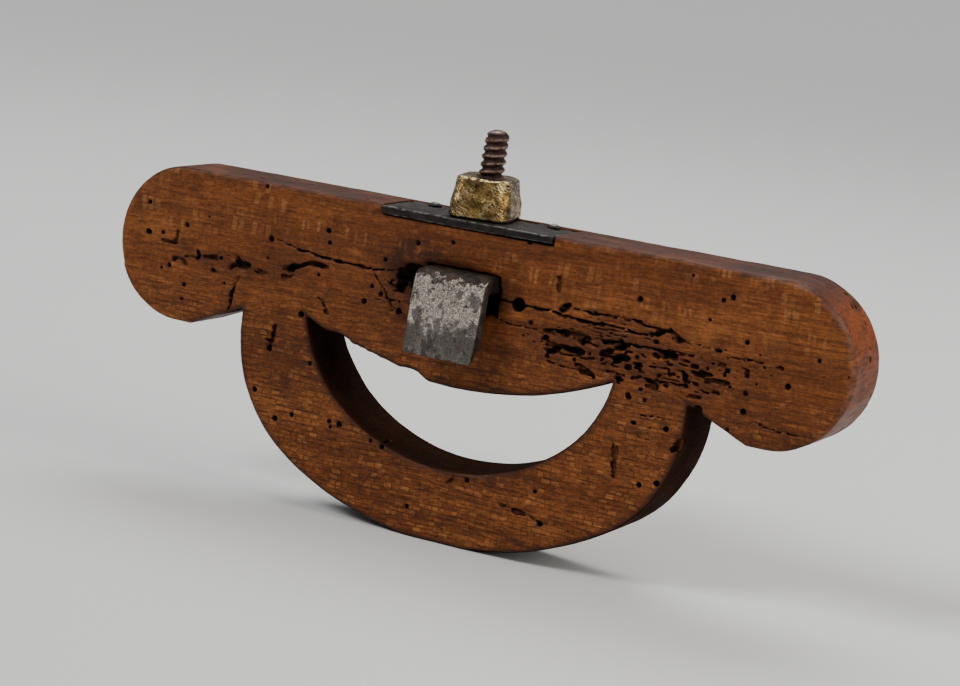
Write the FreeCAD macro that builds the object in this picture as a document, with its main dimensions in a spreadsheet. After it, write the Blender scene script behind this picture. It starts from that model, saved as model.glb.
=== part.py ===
"""A D-shaped wooden router plane: stock, cutter, and the eyebolt, plate and nut that clamp it.

Frame, in millimetres: X runs along the stock, Z is up along the bolt and away from the bow, and the
origin is at mid length, on the line through the two lobes' centres, on the flat rear face.
The sole, where the cutter stands out, faces -Y.
"""

import FreeCAD
import Part
import Sketcher
import math
import os

V = FreeCAD.Vector

# The driving dimensions, one sheet cell each.
DIMENSIONS = {
    "overall_length": 264.0,
    "stock_thickness": 23.0,
    "lobe_radius": 26.0,
    "lobe_flank_reach": 12.0,
    "notch_depth": 17.5,
    "bow_half_width": 81.0,
    "bow_centre_drop": 22.3,
    "bow_depth": 57.2,
    "bow_side_radius": 48.0,
    "bow_flat_drop": 78.8,
    "hand_half_width": 56.0,
    "hand_centre_drop": 7.7,
    "hand_depth": 46.9,
    "hand_side_radius": 42.0,
    "hand_tip_drop": 15.4,
    "hand_lip_radius": 127.0,
    "edge_round": 1.0,
    "bolt_to_rear": 11.5,
    "plate_length": 62.6,
    "plate_proud": 1.0,
    "plate_to_rear": 3.0,
    "plate_thick": 3.2,
    "plate_hole_radius": 4.5,
    "stud_bore_radius": 4.7,
    "nail_offset": 21.6,
    "nail_to_rear": 6.5,
    "nail_radius": 0.8,
    "nail_length": 14.0,
    "nail_head_radius": 2.5,
    "nail_head_height": 1.1,
    "nail_play": 0.02,
    "mortise_half_width": 12.8,
    "mortise_top": 9.9,
    "mortise_floor": 3,
    "slot_floor_drop": 3.7,
    "slot_half_width": 18.8,
    "slot_thick": 6.6,
    "eye_thick": 6.0,
    "eye_half_width": 17.8,
    "eye_inner_half_width": 13.2,
    "eye_bar": 5.0,
    "eye_seat": 4.25,
    "eye_opening": 8.4,
    "eye_corner": 2.5,
    "stud_radius": 4.1,
    "stud_top": 54.1,
    "stud_dome": 2.2,
    "thread_pitch": 2.54,
    "thread_root_radius": 3.05,
    "thread_crest": 0.3,
    "thread_start": 22.0,
    "nut_side": 20.6,
    "nut_corner": 5.0,
    "nut_tall": 13.2,
    "nut_taper": 6.0,
    "nut_turned": 12.0,
    "nut_round": 1.2,
    "nut_bore_radius": 4.18,
    "seat_gap": 0.05,
    "cutter_half_width": 12.25,
    "cutter_heel_half_width": 11.0,
    "shank_top": 9.8,
    "shank_thick": 5.5,
    "shank_tail": 35.0,
    "foot_heel_reach": 8.0,
    "foot_edge_reach": 12.0,
    "foot_edge_drop": 17.3,
    "foot_bevel_drop": 11.5,
    "foot_thick": 4.8,
    "foot_bend": 6.5,
    "foot_inner_bend": 1.5,
}

doc = FreeCAD.newDocument("router_plane")
sheet = doc.addObject("Spreadsheet::Sheet", "dims")


def fill_sheet():
    """Write every driving dimension as a plain number with its alias."""
    for row, (alias, value) in enumerate(DIMENSIONS.items(), start=1):
        sheet.set(f"A{row}", alias)
        sheet.set(f"B{row}", str(value))
        sheet.setAlias(f"B{row}", alias)
    doc.recompute()


def value_of(owner, expression):
    """The number that a sheet expression stands for now."""
    result = owner.evalExpression(expression)
    return float(getattr(result, "Value", result))


def new_body(name):
    """An empty body that becomes one sub-part."""
    body = doc.addObject("PartDesign::Body", name)
    body.Label = name
    return body


def new_sketch(body, name, role, offset=None):
    """A sketch on one of the body's own origin planes, moved along its normal by an expression."""
    plane = next(item for item in body.Origin.OriginFeatures if item.Role == role)
    sketch = body.newObject("Sketcher::SketchObject", name)
    sketch.AttachmentSupport = [(plane, "")]
    sketch.MapMode = "FlatFace"
    if offset:
        sketch.setExpression("AttachmentOffset.Base.z", offset)
    doc.recompute()
    return sketch


def bind(sketch, constraint, name, expression):
    """Add a dimensional constraint and tie it to the sheet."""
    index = sketch.addConstraint(constraint)
    sketch.renameConstraint(index, name)
    sketch.setExpression(f"Constraints.{name}", expression)


def place_point(sketch, geometry, point, name, across, up):
    """Hold a sketch point at two expressions measured from the sketch's origin."""
    for kind, axis, expression in (("DistanceX", -2, across), ("DistanceY", -1, up)):
        if expression == "0":
            sketch.addConstraint(Sketcher.Constraint("PointOnObject", geometry, point, axis))
            continue
        value = value_of(sketch, expression)
        constraint = Sketcher.Constraint(kind, -1, 1, geometry, point, value)
        bind(sketch, constraint, f"{name}_{kind[-1].lower()}", expression)


def add_line(sketch, start, end):
    """A straight edge between two (x, y) pairs."""
    return sketch.addGeometry(Part.LineSegment(V(*start, 0), V(*end, 0)), False)


def add_arc(sketch, centre, radius, start, end):
    """An arc, anticlockwise from one angle to the other, in radians."""
    circle = Part.Circle(V(*centre, 0), V(0, 0, 1), radius)
    return sketch.addGeometry(Part.ArcOfCircle(circle, start, end), False)


def add_circle(sketch, name, across, up, radius):
    """A whole circle whose centre and radius are expressions."""
    centre = V(value_of(sketch, across), value_of(sketch, up), 0)
    size = value_of(sketch, radius)
    circle = sketch.addGeometry(Part.Circle(centre, V(0, 0, 1), size), False)
    place_point(sketch, circle, 3, name, across, up)
    bind(sketch, Sketcher.Constraint("Radius", circle, size), f"{name}_radius", radius)


def add_polygon(sketch, name, corners):
    """A closed run of straight edges through corners given as pairs of expressions."""
    points = [(value_of(sketch, x), value_of(sketch, y)) for x, y in corners]
    count = len(points)
    edges = [add_line(sketch, points[i], points[(i + 1) % count]) for i in range(count)]
    for i, edge in enumerate(edges):
        following = edges[(i + 1) % count]
        sketch.addConstraint(Sketcher.Constraint("Coincident", edge, 2, following, 1))
    for i, (edge, corner) in enumerate(zip(edges, corners, strict=True)):
        place_point(sketch, edge, 1, f"{name}{i}", *corner)


def add_rectangle(sketch, name, left, right, low, high):
    """A rectangle between four expressions."""
    add_polygon(sketch, name, [(left, low), (right, low), (right, high), (left, high)])


def pad(body, name, sketch, length, **options):
    """Grow the body from a sketch by a length expression."""
    feature = body.newObject("PartDesign::Pad", name)
    feature.Profile = sketch
    feature.setExpression("Length", length)
    for key, setting in options.items():
        setattr(feature, key, setting)
    doc.recompute()
    return feature


def pocket(body, name, sketch, length=None, reverse=False):
    """Cut the sketch out of the body, right through if no length is given. Stop if it cut nothing."""
    before = body.Shape.Volume
    feature = body.newObject("PartDesign::Pocket", name)
    feature.Profile = sketch
    feature.Reversed = reverse
    if length:
        feature.setExpression("Length", length)
    else:
        feature.Type = "ThroughAll"
        feature.Midplane = True
    doc.recompute()
    assert body.Shape.Volume < before - 0.1, f"{name} cut nothing"
    return feature


def round_edges(body, name, radius, chosen):
    """Fillet the edges of the body's present shape that the given test picks."""
    base = body.Tip
    names = [f"Edge{i}" for i, edge in enumerate(base.Shape.Edges, start=1) if chosen(edge)]
    feature = body.newObject("PartDesign::Fillet", name)
    feature.Base = (base, names)
    feature.setExpression("Radius", radius)
    doc.recompute()
    return feature


def add_basket_arch(sketch, name, half_width, drop, depth, side_radius):
    """Three tangent arcs hanging below a level line: a wide one between two tight ones.

    Returns the left, bottom and right arcs, drawn anticlockwise from left to right.
    """
    width = value_of(sketch, half_width)
    level = -value_of(sketch, drop)
    deep = value_of(sketch, depth)
    tight = value_of(sketch, side_radius)
    wide_radius = (
        f"({half_width} ^ 2 + {depth} ^ 2 - 2 * {half_width} * {side_radius})"
        f" / (2 * ({depth} - {side_radius}))"
    )
    wide = value_of(sketch, wide_radius)
    offset = width - tight
    swing = math.atan2(offset, wide - deep)
    down = -math.pi / 2
    left = add_arc(sketch, (-offset, level), tight, -math.pi, down - swing)
    bottom = add_arc(sketch, (0, level - deep + wide), wide, down - swing, down + swing)
    right = add_arc(sketch, (offset, level), tight, down + swing, 0)
    side_centre = f"{half_width} - {side_radius}"
    place_point(sketch, left, 3, f"{name}_left", f"-({side_centre})", f"-{drop}")
    place_point(sketch, right, 3, f"{name}_right", side_centre, f"-{drop}")
    for arc, label in ((left, "left"), (right, "right")):
        constraint = Sketcher.Constraint("Radius", arc, tight)
        bind(sketch, constraint, f"{name}_{label}_radius", side_radius)
    sketch.addConstraint(Sketcher.Constraint("Tangent", left, 2, bottom, 1))
    sketch.addConstraint(Sketcher.Constraint("Tangent", bottom, 2, right, 1))
    bind(sketch, Sketcher.Constraint("Radius", bottom, wide), f"{name}_wide", wide_radius)
    return left, bottom, right


def draw_stock_outline(sketch):
    """The bar with its two lobes, and the bow hanging from the notches between them."""
    radius = value_of(sketch, "dims.lobe_radius")
    reach = value_of(sketch, "dims.lobe_flank_reach")
    across = value_of(sketch, "dims.overall_length / 2 - dims.lobe_radius")
    notch = (
        value_of(sketch, "dims.bow_half_width"),
        -value_of(sketch, "dims.notch_depth"),
    )
    wall = (
        value_of(sketch, "dims.bow_half_width"),
        -value_of(sketch, "dims.bow_centre_drop"),
    )
    left_bow, _, right_bow = add_basket_arch(
        sketch,
        "bow",
        "dims.bow_half_width",
        "dims.bow_centre_drop",
        "dims.bow_depth",
        "dims.bow_side_radius",
    )
    flank = math.asin(reach / radius)
    low = -math.pi / 2 - flank
    touch = (across - reach, -radius * math.cos(flank))
    right_wall = add_line(sketch, wall, notch)
    right_flank = add_line(sketch, notch, touch)
    right_lobe = add_arc(sketch, (across, 0), radius, low, math.pi / 2)
    top = add_line(sketch, (across, radius), (-across, radius))
    left_lobe = add_arc(sketch, (-across, 0), radius, math.pi / 2, 3 * math.pi / 2 + flank)
    left_flank = add_line(sketch, (-touch[0], touch[1]), (-notch[0], notch[1]))
    left_wall = add_line(sketch, (-notch[0], notch[1]), (-wall[0], wall[1]))
    for first, second in ((right_wall, right_flank), (left_flank, left_wall)):
        sketch.addConstraint(Sketcher.Constraint("Coincident", first, 2, second, 1))
    for first, second in (
        (right_bow, right_wall),
        (right_flank, right_lobe),
        (right_lobe, top),
        (top, left_lobe),
        (left_lobe, left_flank),
        (left_wall, left_bow),
    ):
        sketch.addConstraint(Sketcher.Constraint("Tangent", first, 2, second, 1))
    sketch.addConstraint(Sketcher.Constraint("Vertical", right_wall))
    sketch.addConstraint(Sketcher.Constraint("Vertical", left_wall))
    centre = "dims.overall_length / 2 - dims.lobe_radius"
    place_point(sketch, right_lobe, 3, "right_lobe", centre, "0")
    place_point(sketch, left_lobe, 3, "left_lobe", f"-({centre})", "0")
    for lobe, label in ((right_lobe, "right"), (left_lobe, "left")):
        constraint = Sketcher.Constraint("Radius", lobe, radius)
        bind(sketch, constraint, f"{label}_lobe_radius", "dims.lobe_radius")
    for edge, point, label in ((right_flank, 1, "right"), (left_flank, 2, "left")):
        constraint = Sketcher.Constraint("DistanceY", -1, 1, edge, point, notch[1])
        bind(sketch, constraint, f"{label}_notch", "-dims.notch_depth")


def draw_hand_hole(sketch):
    """The crescent: a basket arch below and one long shallow arc as its upper lip."""
    left, _, right = add_basket_arch(
        sketch,
        "hand",
        "dims.hand_half_width",
        "dims.hand_centre_drop",
        "dims.hand_depth",
        "dims.hand_side_radius",
    )
    tip_height = -value_of(sketch, "dims.hand_tip_drop")
    side = value_of(sketch, "dims.hand_side_radius")
    level = -value_of(sketch, "dims.hand_centre_drop")
    offset = value_of(sketch, "dims.hand_half_width") - side
    tip = offset + math.sqrt(side**2 - (tip_height - level) ** 2)
    lip = value_of(sketch, "dims.hand_lip_radius")
    rise = math.sqrt(lip**2 - tip**2)
    half = math.asin(tip / lip)
    down = -math.pi / 2
    upper = add_arc(sketch, (0, tip_height + rise), lip, down - half, down + half)
    sketch.addConstraint(Sketcher.Constraint("Coincident", right, 2, upper, 2))
    sketch.addConstraint(Sketcher.Constraint("Coincident", left, 1, upper, 1))
    for point, label in ((1, "left"), (2, "right")):
        constraint = Sketcher.Constraint("DistanceY", -1, 1, upper, point, tip_height)
        bind(sketch, constraint, f"{label}_tip", "-dims.hand_tip_drop")
    bind(sketch, Sketcher.Constraint("Radius", upper, lip), "lip", "dims.hand_lip_radius")


def is_rim(edge):
    """True for an edge of the stock's outline or hand hole that lies in a wide face."""
    box = edge.BoundBox
    thick = DIMENSIONS["stock_thickness"]
    in_face = any(abs(box.YMin - y) < 0.01 and abs(box.YMax - y) < 0.01 for y in (0.0, -thick))
    outside = min(abs(box.XMin), abs(box.XMax)) > 0 and box.ZMax <= DIMENSIONS["lobe_radius"] + 0.01
    in_mortise = box.ZMin > -DIMENSIONS["hand_tip_drop"] and box.XMax < 60 and box.XMin > -60
    return in_face and outside and not in_mortise


def make_stock():
    """The wooden body with everything that is cut into it."""
    body = new_body("stock")
    outline = new_sketch(body, "stock_outline", "XZ_Plane")
    draw_stock_outline(outline)
    pad(body, "stock_board", outline, "dims.stock_thickness")
    crescent = new_sketch(body, "crescent", "XZ_Plane")
    draw_hand_hole(crescent)
    pocket(body, "hand_hole", crescent)
    round_edges(body, "worn_rims", "dims.edge_round", is_rim)
    cut_bow_flat(body)
    opening = new_sketch(body, "mortise_outline", "XZ_Plane")
    add_rectangle(
        opening,
        "mortise",
        "-dims.mortise_half_width",
        "dims.mortise_half_width",
        "dims.mortise_floor",
        "dims.mortise_top",
    )
    pocket(body, "mortise", opening)
    cut_plate_recess(body)
    cut_eye_slot(body)
    drill_stud_bore(body)
    drill_nail_holes(body)
    return body


def cut_bow_flat(body):
    """The small worn flat at the bottom of the bow, which the plane stands on."""
    sketch = new_sketch(body, "bow_flat_outline", "XZ_Plane")
    add_rectangle(
        sketch,
        "flat",
        "-dims.hand_half_width",
        "dims.hand_half_width",
        "-dims.bow_centre_drop - dims.bow_depth - 1",
        "-dims.bow_flat_drop",
    )
    pocket(body, "bow_flat", sketch)


def cut_plate_recess(body):
    """The recess in the top edge, open at the sole, that the plate is let into."""
    sketch = new_sketch(body, "recess_outline", "XY_Plane", "dims.lobe_radius")
    add_rectangle(
        sketch,
        "recess",
        "-dims.plate_length / 2",
        "dims.plate_length / 2",
        "-dims.stock_thickness - dims.plate_proud",
        "-dims.plate_to_rear",
    )
    pocket(body, "plate_recess", sketch, "dims.plate_thick")


def cut_eye_slot(body):
    """The slot down from the recess past the mortise, which the eye is dropped into."""
    sketch = new_sketch(body, "slot_outline", "XY_Plane", "dims.lobe_radius")
    add_rectangle(
        sketch,
        "slot",
        "-dims.slot_half_width",
        "dims.slot_half_width",
        "-dims.bolt_to_rear - dims.slot_thick / 2",
        "-dims.bolt_to_rear + dims.slot_thick / 2",
    )
    pocket(body, "eye_slot", sketch, "dims.lobe_radius + dims.slot_floor_drop")


def drill_stud_bore(body):
    """The round hole that widens the slot for the stud, down to the mortise."""
    sketch = new_sketch(body, "stud_bore_outline", "XY_Plane", "dims.lobe_radius")
    add_circle(sketch, "stud_bore", "0", "-dims.bolt_to_rear", "dims.stud_bore_radius")
    pocket(body, "stud_bore", sketch, "dims.lobe_radius - dims.mortise_top")


def drill_nail_holes(body):
    """Two blind holes below the recess for the plate's nails."""
    sketch = new_sketch(body, "nail_hole_outline", "XY_Plane", "dims.lobe_radius")
    for side, sign in (("left", "-"), ("right", "")):
        add_circle(
            sketch,
            side,
            f"{sign}dims.nail_offset",
            "-dims.nail_to_rear",
            "dims.nail_radius + dims.nail_play",
        )
    pocket(body, "nail_holes", sketch, "dims.nail_length + dims.nail_play")


def make_bolt_plate():
    """The iron plate in the top edge, with holes for the stud and the nails."""
    body = new_body("bolt_plate")
    outline = new_sketch(body, "plate_outline", "XY_Plane", "dims.lobe_radius - dims.plate_thick")
    add_rectangle(
        outline,
        "plate",
        "-dims.plate_length / 2",
        "dims.plate_length / 2",
        "-dims.stock_thickness - dims.plate_proud",
        "-dims.plate_to_rear",
    )
    add_circle(outline, "stud_hole", "0", "-dims.bolt_to_rear", "dims.plate_hole_radius")
    for side, sign in (("left", "-"), ("right", "")):
        add_circle(
            outline,
            f"{side}_nail",
            f"{sign}dims.nail_offset",
            "-dims.nail_to_rear",
            "dims.nail_radius + dims.nail_play",
        )
    pad(body, "plate", outline, "dims.plate_thick")
    return body


def make_plate_nails():
    """Two domed nails, kept as one group of separate solids."""
    head_radius = "dims.nail_head_radius"
    head_height = "dims.nail_head_height"
    curve = f"(({head_radius} ^ 2 + {head_height} ^ 2) / (2 * {head_height}))"
    nails = []
    for side, sign in (("left", "-"), ("right", "")):
        shank = doc.addObject("Part::Cylinder", f"{side}_nail_shank")
        shank.setExpression("Radius", "dims.nail_radius")
        shank.setExpression("Height", "dims.nail_length + dims.nail_head_height / 2")
        shank.setExpression("Placement.Base.z", "dims.lobe_radius - dims.nail_length")
        head = doc.addObject("Part::Sphere", f"{side}_nail_dome")
        head.setExpression("Radius", curve)
        head.setExpression("Angle1", f"asin(({curve} - {head_height}) / {curve})")
        head.setExpression("Placement.Base.z", f"dims.lobe_radius + {head_height} - {curve}")
        for item in (shank, head):
            item.setExpression("Placement.Base.x", f"{sign}dims.nail_offset")
            item.setExpression("Placement.Base.y", "-dims.nail_to_rear")
        nail = doc.addObject("Part::Fuse", f"{side}_nail")
        nail.Base = shank
        nail.Tool = head
        nails.append(nail)
    group = doc.addObject("Part::Compound", "plate_nails")
    group.Label = "plate_nails"
    group.Links = nails
    doc.recompute()
    return group


def make_eyebolt():
    """The forged eye around the cutter's shank, and the threaded stud that rises from it."""
    body = new_body("eyebolt")
    ring = new_sketch(body, "eye_outline", "XZ_Plane", "dims.bolt_to_rear - dims.eye_thick / 2")
    top_of_eye = "dims.eye_seat + dims.eye_opening + dims.eye_bar"
    add_rectangle(
        ring,
        "outer",
        "-dims.eye_half_width",
        "dims.eye_half_width",
        "dims.eye_seat - dims.eye_bar",
        top_of_eye,
    )
    add_rectangle(
        ring,
        "inner",
        "-dims.eye_inner_half_width",
        "dims.eye_inner_half_width",
        "dims.eye_seat",
        "dims.eye_seat + dims.eye_opening",
    )
    pad(body, "eye", ring, "dims.eye_thick")
    side = DIMENSIONS["eye_half_width"]
    round_edges(
        body,
        "eye_corners",
        "dims.eye_corner",
        lambda edge: edge.BoundBox.YLength > 1 and abs(abs(edge.BoundBox.Center.x) - side) < 0.01,
    )
    base = f"{top_of_eye} - dims.eye_bar / 2"
    stem = new_sketch(body, "stud_outline", "XY_Plane", base)
    add_circle(stem, "stud", "0", "-dims.bolt_to_rear", "dims.stud_radius")
    pad(body, "stud", stem, f"dims.stud_top - ({base})")
    tall = DIMENSIONS["stud_top"]
    round_edges(body, "stud_dome", "dims.stud_dome", lambda edge: edge.BoundBox.ZMin > tall - 0.01)
    cut_thread(body)
    return body


def cut_thread(body):
    """A right-hand V thread, cut up the stud from below the plate to past its tip."""
    groove = new_sketch(body, "thread_profile", "XZ_Plane", "dims.bolt_to_rear")
    outside = "dims.stud_radius + 0.2"
    half = "(dims.thread_pitch - dims.thread_crest) / 2"
    add_polygon(
        groove,
        "groove",
        [
            ("dims.thread_root_radius", "dims.thread_start"),
            (outside, f"dims.thread_start - {half}"),
            (outside, f"dims.thread_start + {half}"),
        ],
    )
    before = body.Shape.Volume
    thread = body.newObject("PartDesign::SubtractiveHelix", "thread")
    thread.Profile = groove
    thread.ReferenceAxis = (groove, ["V_Axis"])
    thread.Mode = "pitch-height-angle"
    thread.setExpression("Pitch", "dims.thread_pitch")
    thread.setExpression("Height", "dims.stud_top - dims.thread_start + dims.thread_pitch")
    doc.recompute()
    assert body.Shape.Volume < before - 1.0, "the thread cut nothing"


def make_nut():
    """The square brass nut, narrower at its top and rounded at its corners."""
    body = new_body("nut")
    outline = new_sketch(body, "nut_outline", "XY_Plane")
    half = "dims.nut_side / 2"
    add_rectangle(outline, "nut", f"-{half}", half, f"-{half}", half)
    block = pad(body, "nut_block", outline, "dims.nut_tall")
    block.setExpression("TaperAngle", "-dims.nut_taper")
    doc.recompute()
    tall = DIMENSIONS["nut_tall"]
    round_edges(
        body, "nut_corners", "dims.nut_corner", lambda edge: edge.BoundBox.ZLength > tall / 2
    )
    round_edges(body, "nut_rims", "dims.nut_round", lambda edge: edge.BoundBox.ZLength < 0.01)
    bore = new_sketch(body, "nut_bore_outline", "XY_Plane")
    add_circle(bore, "bore", "0", "0", "dims.nut_bore_radius")
    pocket(body, "nut_bore", bore)
    body.setExpression("Placement.Base.y", "-dims.bolt_to_rear")
    body.setExpression("Placement.Base.z", "dims.lobe_radius + dims.seat_gap")
    body.Placement.Rotation = FreeCAD.Rotation(V(0, 0, 1), DIMENSIONS["nut_turned"])
    doc.recompute()
    return body


def draw_cutter_side(sketch):
    """The bent bar seen from the side: shank, outer bend, foot sloping to its edge, and bevel."""
    face = "dims.stock_thickness"
    heel = f"-{face} - dims.foot_heel_reach"
    tip = f"-{face} - dims.foot_edge_reach"
    slope = "(dims.foot_edge_reach - dims.foot_heel_reach) / (dims.foot_edge_drop + dims.shank_top)"
    bevel_back = (
        f"{heel} - {slope} * (dims.foot_bevel_drop + dims.shank_top) + dims.foot_thick"
    )
    inner = f"{heel} - {slope} * dims.shank_thick + dims.foot_thick"
    add_polygon(
        sketch,
        "side",
        [
            ("dims.shank_tail", "dims.shank_top"),
            (heel, "dims.shank_top"),
            (tip, "-dims.foot_edge_drop"),
            (bevel_back, "-dims.foot_bevel_drop"),
            (inner, "dims.shank_top - dims.shank_thick"),
            ("dims.shank_tail", "dims.shank_top - dims.shank_thick"),
        ],
    )


def make_cutter():
    """The L-shaped steel cutter: shank through the stock, foot in front of the sole."""
    body = new_body("cutter")
    side = new_sketch(body, "cutter_side", "YZ_Plane")
    draw_cutter_side(side)
    pad(body, "bent_bar", side, "2 * dims.cutter_half_width", Midplane=True)
    thick = DIMENSIONS["stock_thickness"]
    reach = DIMENSIONS["foot_heel_reach"]
    round_edges(
        body,
        "outer_bend",
        "dims.foot_bend",
        lambda edge: edge.BoundBox.XLength > 20
        and abs(edge.BoundBox.YMax + thick + reach) < 0.01
        and edge.BoundBox.ZMin > 0,
    )
    low = DIMENSIONS["shank_top"] - DIMENSIONS["shank_thick"]
    round_edges(
        body,
        "inner_bend",
        "dims.foot_inner_bend",
        lambda edge: edge.BoundBox.XLength > 20
        and abs(edge.BoundBox.ZMax - low) < 0.01
        and edge.BoundBox.YMax < -20,
    )
    narrow_heel(body)
    return body


def narrow_heel(body):
    """Take a thin wedge off each side of the foot, so that it spreads towards its edge."""
    sketch = new_sketch(body, "heel_wedges", "XZ_Plane", "dims.stock_thickness + 1")
    outside = "(dims.cutter_half_width + 2)"
    for side, sign in (("left", "-"), ("right", "")):
        add_polygon(
            sketch,
            side,
            [
                (f"{sign}dims.cutter_half_width", "-dims.foot_edge_drop"),
                (f"{sign}{outside}", "-dims.foot_edge_drop"),
                (f"{sign}{outside}", "dims.shank_top + 1"),
                (f"{sign}dims.cutter_heel_half_width", "dims.shank_top + 1"),
            ],
        )
    pocket(body, "heel_sides", sketch, "dims.foot_edge_reach + 2", reverse=True)


def check(parts):
    """Stop if any object failed, or any sub-part has no valid shape."""
    for item in doc.Objects:
        bad = {"Invalid", "Error"} & set(item.State)
        assert not bad, f"{item.Name} is {bad}"
    for part in parts:
        assert not part.Shape.isNull(), f"{part.Label} is empty"
        assert part.Shape.isValid(), f"{part.Label} is not valid"
        print(part.Label, len(part.Shape.Solids), round(part.Shape.Volume, 1), part.Shape.BoundBox)


def main():
    """Build every sub-part and write each to its own STEP file."""
    fill_sheet()
    parts = [
        make_stock(),
        make_bolt_plate(),
        make_plate_nails(),
        make_eyebolt(),
        make_nut(),
        make_cutter(),
    ]
    doc.recompute()
    check(parts)
    os.makedirs("parts", exist_ok=True)
    for part in parts:
        part.Shape.exportStep(f"parts/{part.Label}.step")


main()
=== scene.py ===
"""The router plane's looks: worm-eaten beech, wrought iron, filed brass and pitted steel.

Each visible piece is carved as a signed distance on a grid, in millimetres, and then skinned, so that
its worm holes, cracks, chips, file marks and worn edges are real shape. Finer marks are in the materials.
"""

import math

import bpy
import numpy as np
import openvdb
from mathutils import Matrix, Vector


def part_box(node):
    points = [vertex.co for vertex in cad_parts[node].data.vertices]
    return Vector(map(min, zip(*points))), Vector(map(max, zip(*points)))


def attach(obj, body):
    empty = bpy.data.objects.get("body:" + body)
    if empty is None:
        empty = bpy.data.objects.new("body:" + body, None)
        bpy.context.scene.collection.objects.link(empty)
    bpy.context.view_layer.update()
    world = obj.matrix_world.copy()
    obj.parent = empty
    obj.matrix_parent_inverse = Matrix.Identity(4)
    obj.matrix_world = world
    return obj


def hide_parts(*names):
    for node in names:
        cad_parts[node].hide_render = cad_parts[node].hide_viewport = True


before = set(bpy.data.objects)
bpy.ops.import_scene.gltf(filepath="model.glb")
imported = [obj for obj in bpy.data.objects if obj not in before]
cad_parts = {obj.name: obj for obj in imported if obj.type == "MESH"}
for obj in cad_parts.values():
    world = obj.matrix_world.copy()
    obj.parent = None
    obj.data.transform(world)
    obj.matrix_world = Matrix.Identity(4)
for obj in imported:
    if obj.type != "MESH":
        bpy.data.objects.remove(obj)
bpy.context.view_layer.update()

MM = 0.001


def box_mm(node):
    """A CAD node's lowest and highest corners in millimetres."""
    low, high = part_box(node)
    return np.array(low) / MM, np.array(high) / MM


STOCK_LOW, STOCK_HIGH = box_mm("stock")
PLATE_LOW, PLATE_HIGH = box_mm("bolt_plate")
EYE_LOW, EYE_HIGH = box_mm("eyebolt")
NUT_LOW, NUT_HIGH = box_mm("nut")
CUTTER_LOW, CUTTER_HIGH = box_mm("cutter")
SOLE = STOCK_LOW[1]
BOLT_Y = (EYE_LOW[1] + EYE_HIGH[1]) / 2


# ---------------------------------------------------------------- distance fields


def smooth_max(a, b, soft):
    """The larger of two distances, with the corner between them eased over soft."""
    if soft <= 0:
        return np.maximum(a, b)
    share = np.clip(0.5 + 0.5 * (a - b) / soft, 0, 1)
    return b * (1 - share) + a * share + soft * share * (1 - share)


def smooth_min(a, b, soft):
    """The smaller of two distances, with the corner between them filled over soft."""
    return -smooth_max(-a, -b, soft)


def round_max(a, b, radius):
    """Two surfaces meeting in an edge of a given radius, which may vary from place to place."""
    outer = np.hypot(np.maximum(a + radius, 0), np.maximum(b + radius, 0))
    return outer - radius + np.minimum(np.maximum(a + radius, b + radius), 0)


def arris(a, b, width):
    """1 along the edge where two surfaces meet, fading to 0 over a width."""
    return np.exp(-(np.abs(a) + np.abs(b)) / width)


def ease(low, high, value):
    """0 below low, 1 above high, and a smooth step between."""
    share = np.clip((value - low) / (high - low), 0, 1)
    return share * share * (3 - 2 * share)


def segment(x, y, z, start, end):
    """Distance from each point to the straight run between two points."""
    start = np.array(start, np.float32)
    run = np.array(end, np.float32) - start
    px, py, pz = x - start[0], y - start[1], z - start[2]
    along = np.clip((px * run[0] + py * run[1] + pz * run[2]) / max(run @ run, 1e-6), 0, 1)
    return np.sqrt((px - along * run[0]) ** 2 + (py - along * run[1]) ** 2 + (pz - along * run[2]) ** 2)


def slab_box(x, y, z, low, high):
    """Distance to an axis-aligned box, exact inside and near its faces."""
    dx = np.maximum(low[0] - x, x - high[0])
    dy = np.maximum(low[1] - y, y - high[1])
    dz = np.maximum(low[2] - z, z - high[2])
    return np.maximum(np.maximum(dx, dy), dz)


def spread(lattice, axis, values, cell):
    """Fill in a coarse lattice along one axis, smoothly, at each of the axis's values."""
    place = (values - values[0]) / cell
    index = np.floor(place).astype(int)
    share = place - index
    share = (share * share * (3 - 2 * share)).astype(np.float32)
    shape = [1, 1, 1]
    shape[axis] = -1
    share = share.reshape(shape)
    near = lattice.take(index, axis)
    return near + (lattice.take(index + 1, axis) - near) * share


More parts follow.
